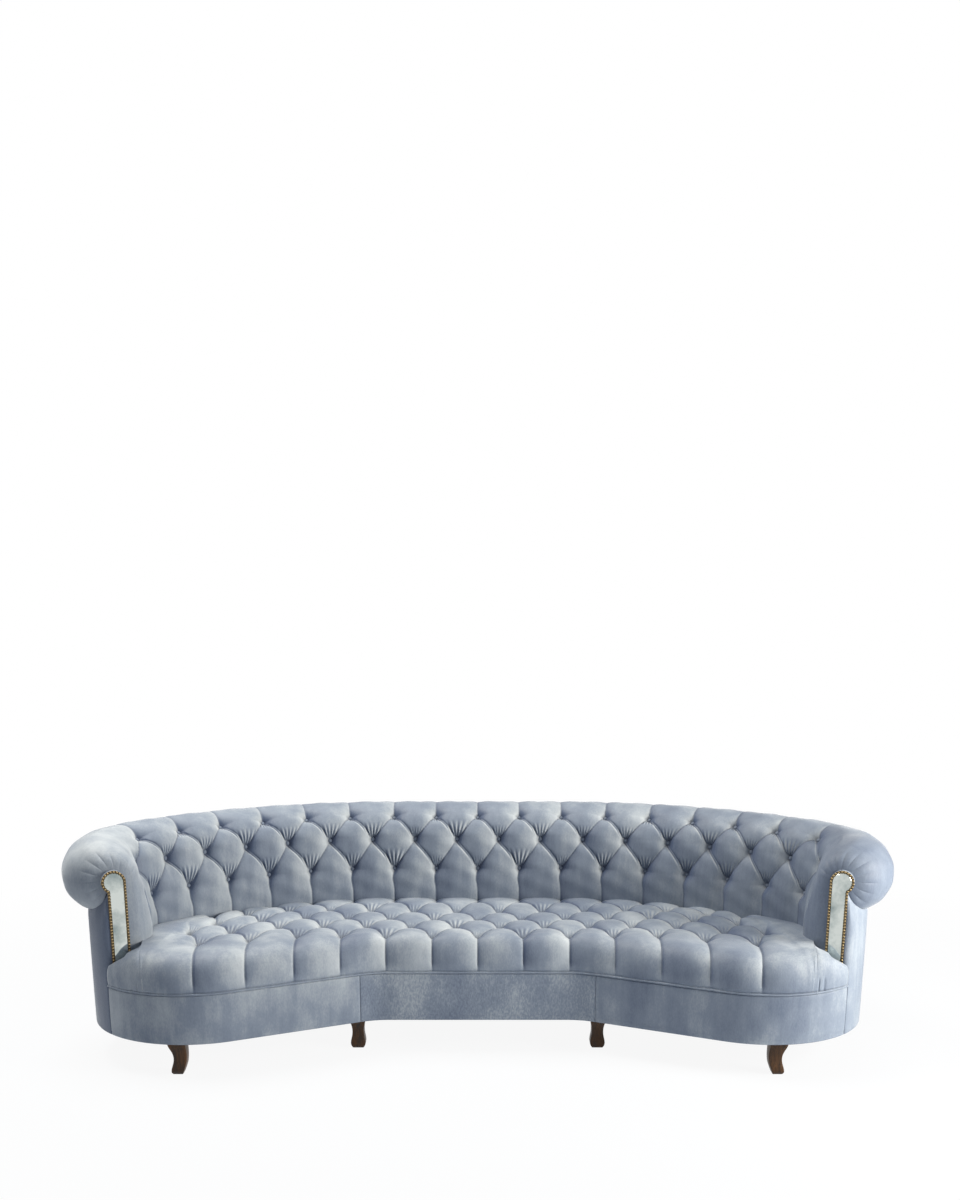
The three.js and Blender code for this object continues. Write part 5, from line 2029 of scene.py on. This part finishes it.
@dataclass(frozen=True)
class Studio:
    """Pale floor, soft light from the right and from above, and the photograph's camera."""

    distance: float = 5.0
    height: float = 1.810
    pitch: float = math.radians(15.66)
    lens: float = 40.89
    sensor: float = 36.0
    farthest: float = 200.0
    shift: tuple[float, float] = (0.0018, 0.2931)
    floor_size: float = 60.0
    floor_tone: str = "c6ccd6"
    floor_white: float = 0.92
    white_from: tuple[float, float] = (1.6, 3.6)
    low_light: float = 0.15
    low_tone: tuple[float, float, float, float] = (0.84, 0.93, 1.10, 1.0)
    lamp_tint: tuple[float, float, float] = (1.0, 0.965, 0.88)
    aim: tuple[float, float, float] = (0.0, 0.0, 0.45)
    lamps: tuple[SoftLamp, ...] = (
        SoftLamp("lamp_right", (3.7, -1.55, 1.55), 1.6, 218.0),
        SoftLamp("lamp_above", (-1.9, 0.3, 4.6), 2.6, 285.0),
    )

    def camera(self) -> None:
        """Set up the camera."""
        data = bpy.data.cameras.new("camera")
        data.lens, data.sensor_width, data.clip_end = self.lens, self.sensor, self.farthest
        data.shift_x, data.shift_y = self.shift
        camera = bpy.data.objects.new("camera", data)
        camera.location = (0.0, -self.distance + PLAN.shift, self.height)
        camera.rotation_euler = (math.pi / 2 - self.pitch, 0.0, 0.0)
        bpy.context.scene.collection.objects.link(camera)
        bpy.context.scene.camera = camera

    def floor(self) -> None:
        """Lay a plain floor that looks white and keeps the sofa's shadow."""
        select_only()
        bpy.ops.mesh.primitive_plane_add(size=self.floor_size)
        piece = bpy.context.object
        piece.name = "studio_floor"
        bench = Bench.named("floor_white")
        diffuse = bench.add("BsdfDiffuse", {"Color": colour(self.floor_tone)})
        glow = bench.add("Emission", {"Color": WHITE, "Strength": 1.0})
        away = bench.add("VectorMath", {0: bench.place}, operation="LENGTH").outputs["Value"]
        far = bench.spread(away, *self.white_from, (self.floor_white, 1.0))
        share = bench.reckon("MULTIPLY", bench.seen_plainly(), far)
        mixed = bench.add("MixShader", {0: share, 1: diffuse.outputs[0], 2: glow.outputs[0]})
        piece.data.materials.append(bench.surface(mixed))

    def world(self) -> None:
        """Set a white background and a low, even, slightly cool light."""
        bench = Bench(bpy.data.worlds.new("studio"))
        seen = bench.seen_plainly()
        level = bench.spread(seen, 0.0, 1.0, (self.low_light, 1.0))
        tone = bench.blend(seen, self.low_tone, WHITE)
        back = bench.add("Background", {"Color": tone, "Strength": level})
        bpy.context.scene.world = bench.surface(back)

    def hang(self, lamp: SoftLamp) -> None:
        """Hang one lamp that looks at the seat."""
        data = bpy.data.lights.new(lamp.name, "AREA")
        data.shape, data.size, data.energy = "SQUARE", lamp.size, lamp.power
        data.color = self.lamp_tint
        made = bpy.data.objects.new(lamp.name, data)
        made.location = lamp.place
        toward = Vector(self.aim) - Vector(lamp.place)
        made.rotation_euler = toward.to_track_quat("-Z", "Y").to_euler()
        bpy.context.scene.collection.objects.link(made)

    def build(self) -> None:
        """Set up floor, world, lamps and camera."""
        self.floor()
        self.world()
        for lamp in self.lamps:
            self.hang(lamp)
        self.camera()
        bpy.context.scene.view_settings.view_transform = "Standard"


def report(made: Piece | list[Piece]) -> None:
    """Log what a sub-assembly has made."""
    for piece in made if isinstance(made, list) else [made]:
        LOG.info("%s: %d faces", piece.name, len(piece.data.polygons))


def main() -> None:
    """Model and dress the sofa piece by piece, then light it."""
    logging.basicConfig(level=logging.INFO, format="%(name)s: %(message)s", force=True)
    inside, seat = InsideUpholstery(), SeatUpholstery()
    upholstery = (inside, seat, TuftButtons(inside, seat), FrontBand(), OutsideCovers())
    for maker in (*upholstery, ArmFacings(), SawnLegs()):
        report(maker.dress(maker.build()))
    LOG.info("frame nodes dressed: %d", InnerFrame().dress())
    Studio().build()


if __name__ == "__main__":
    main()
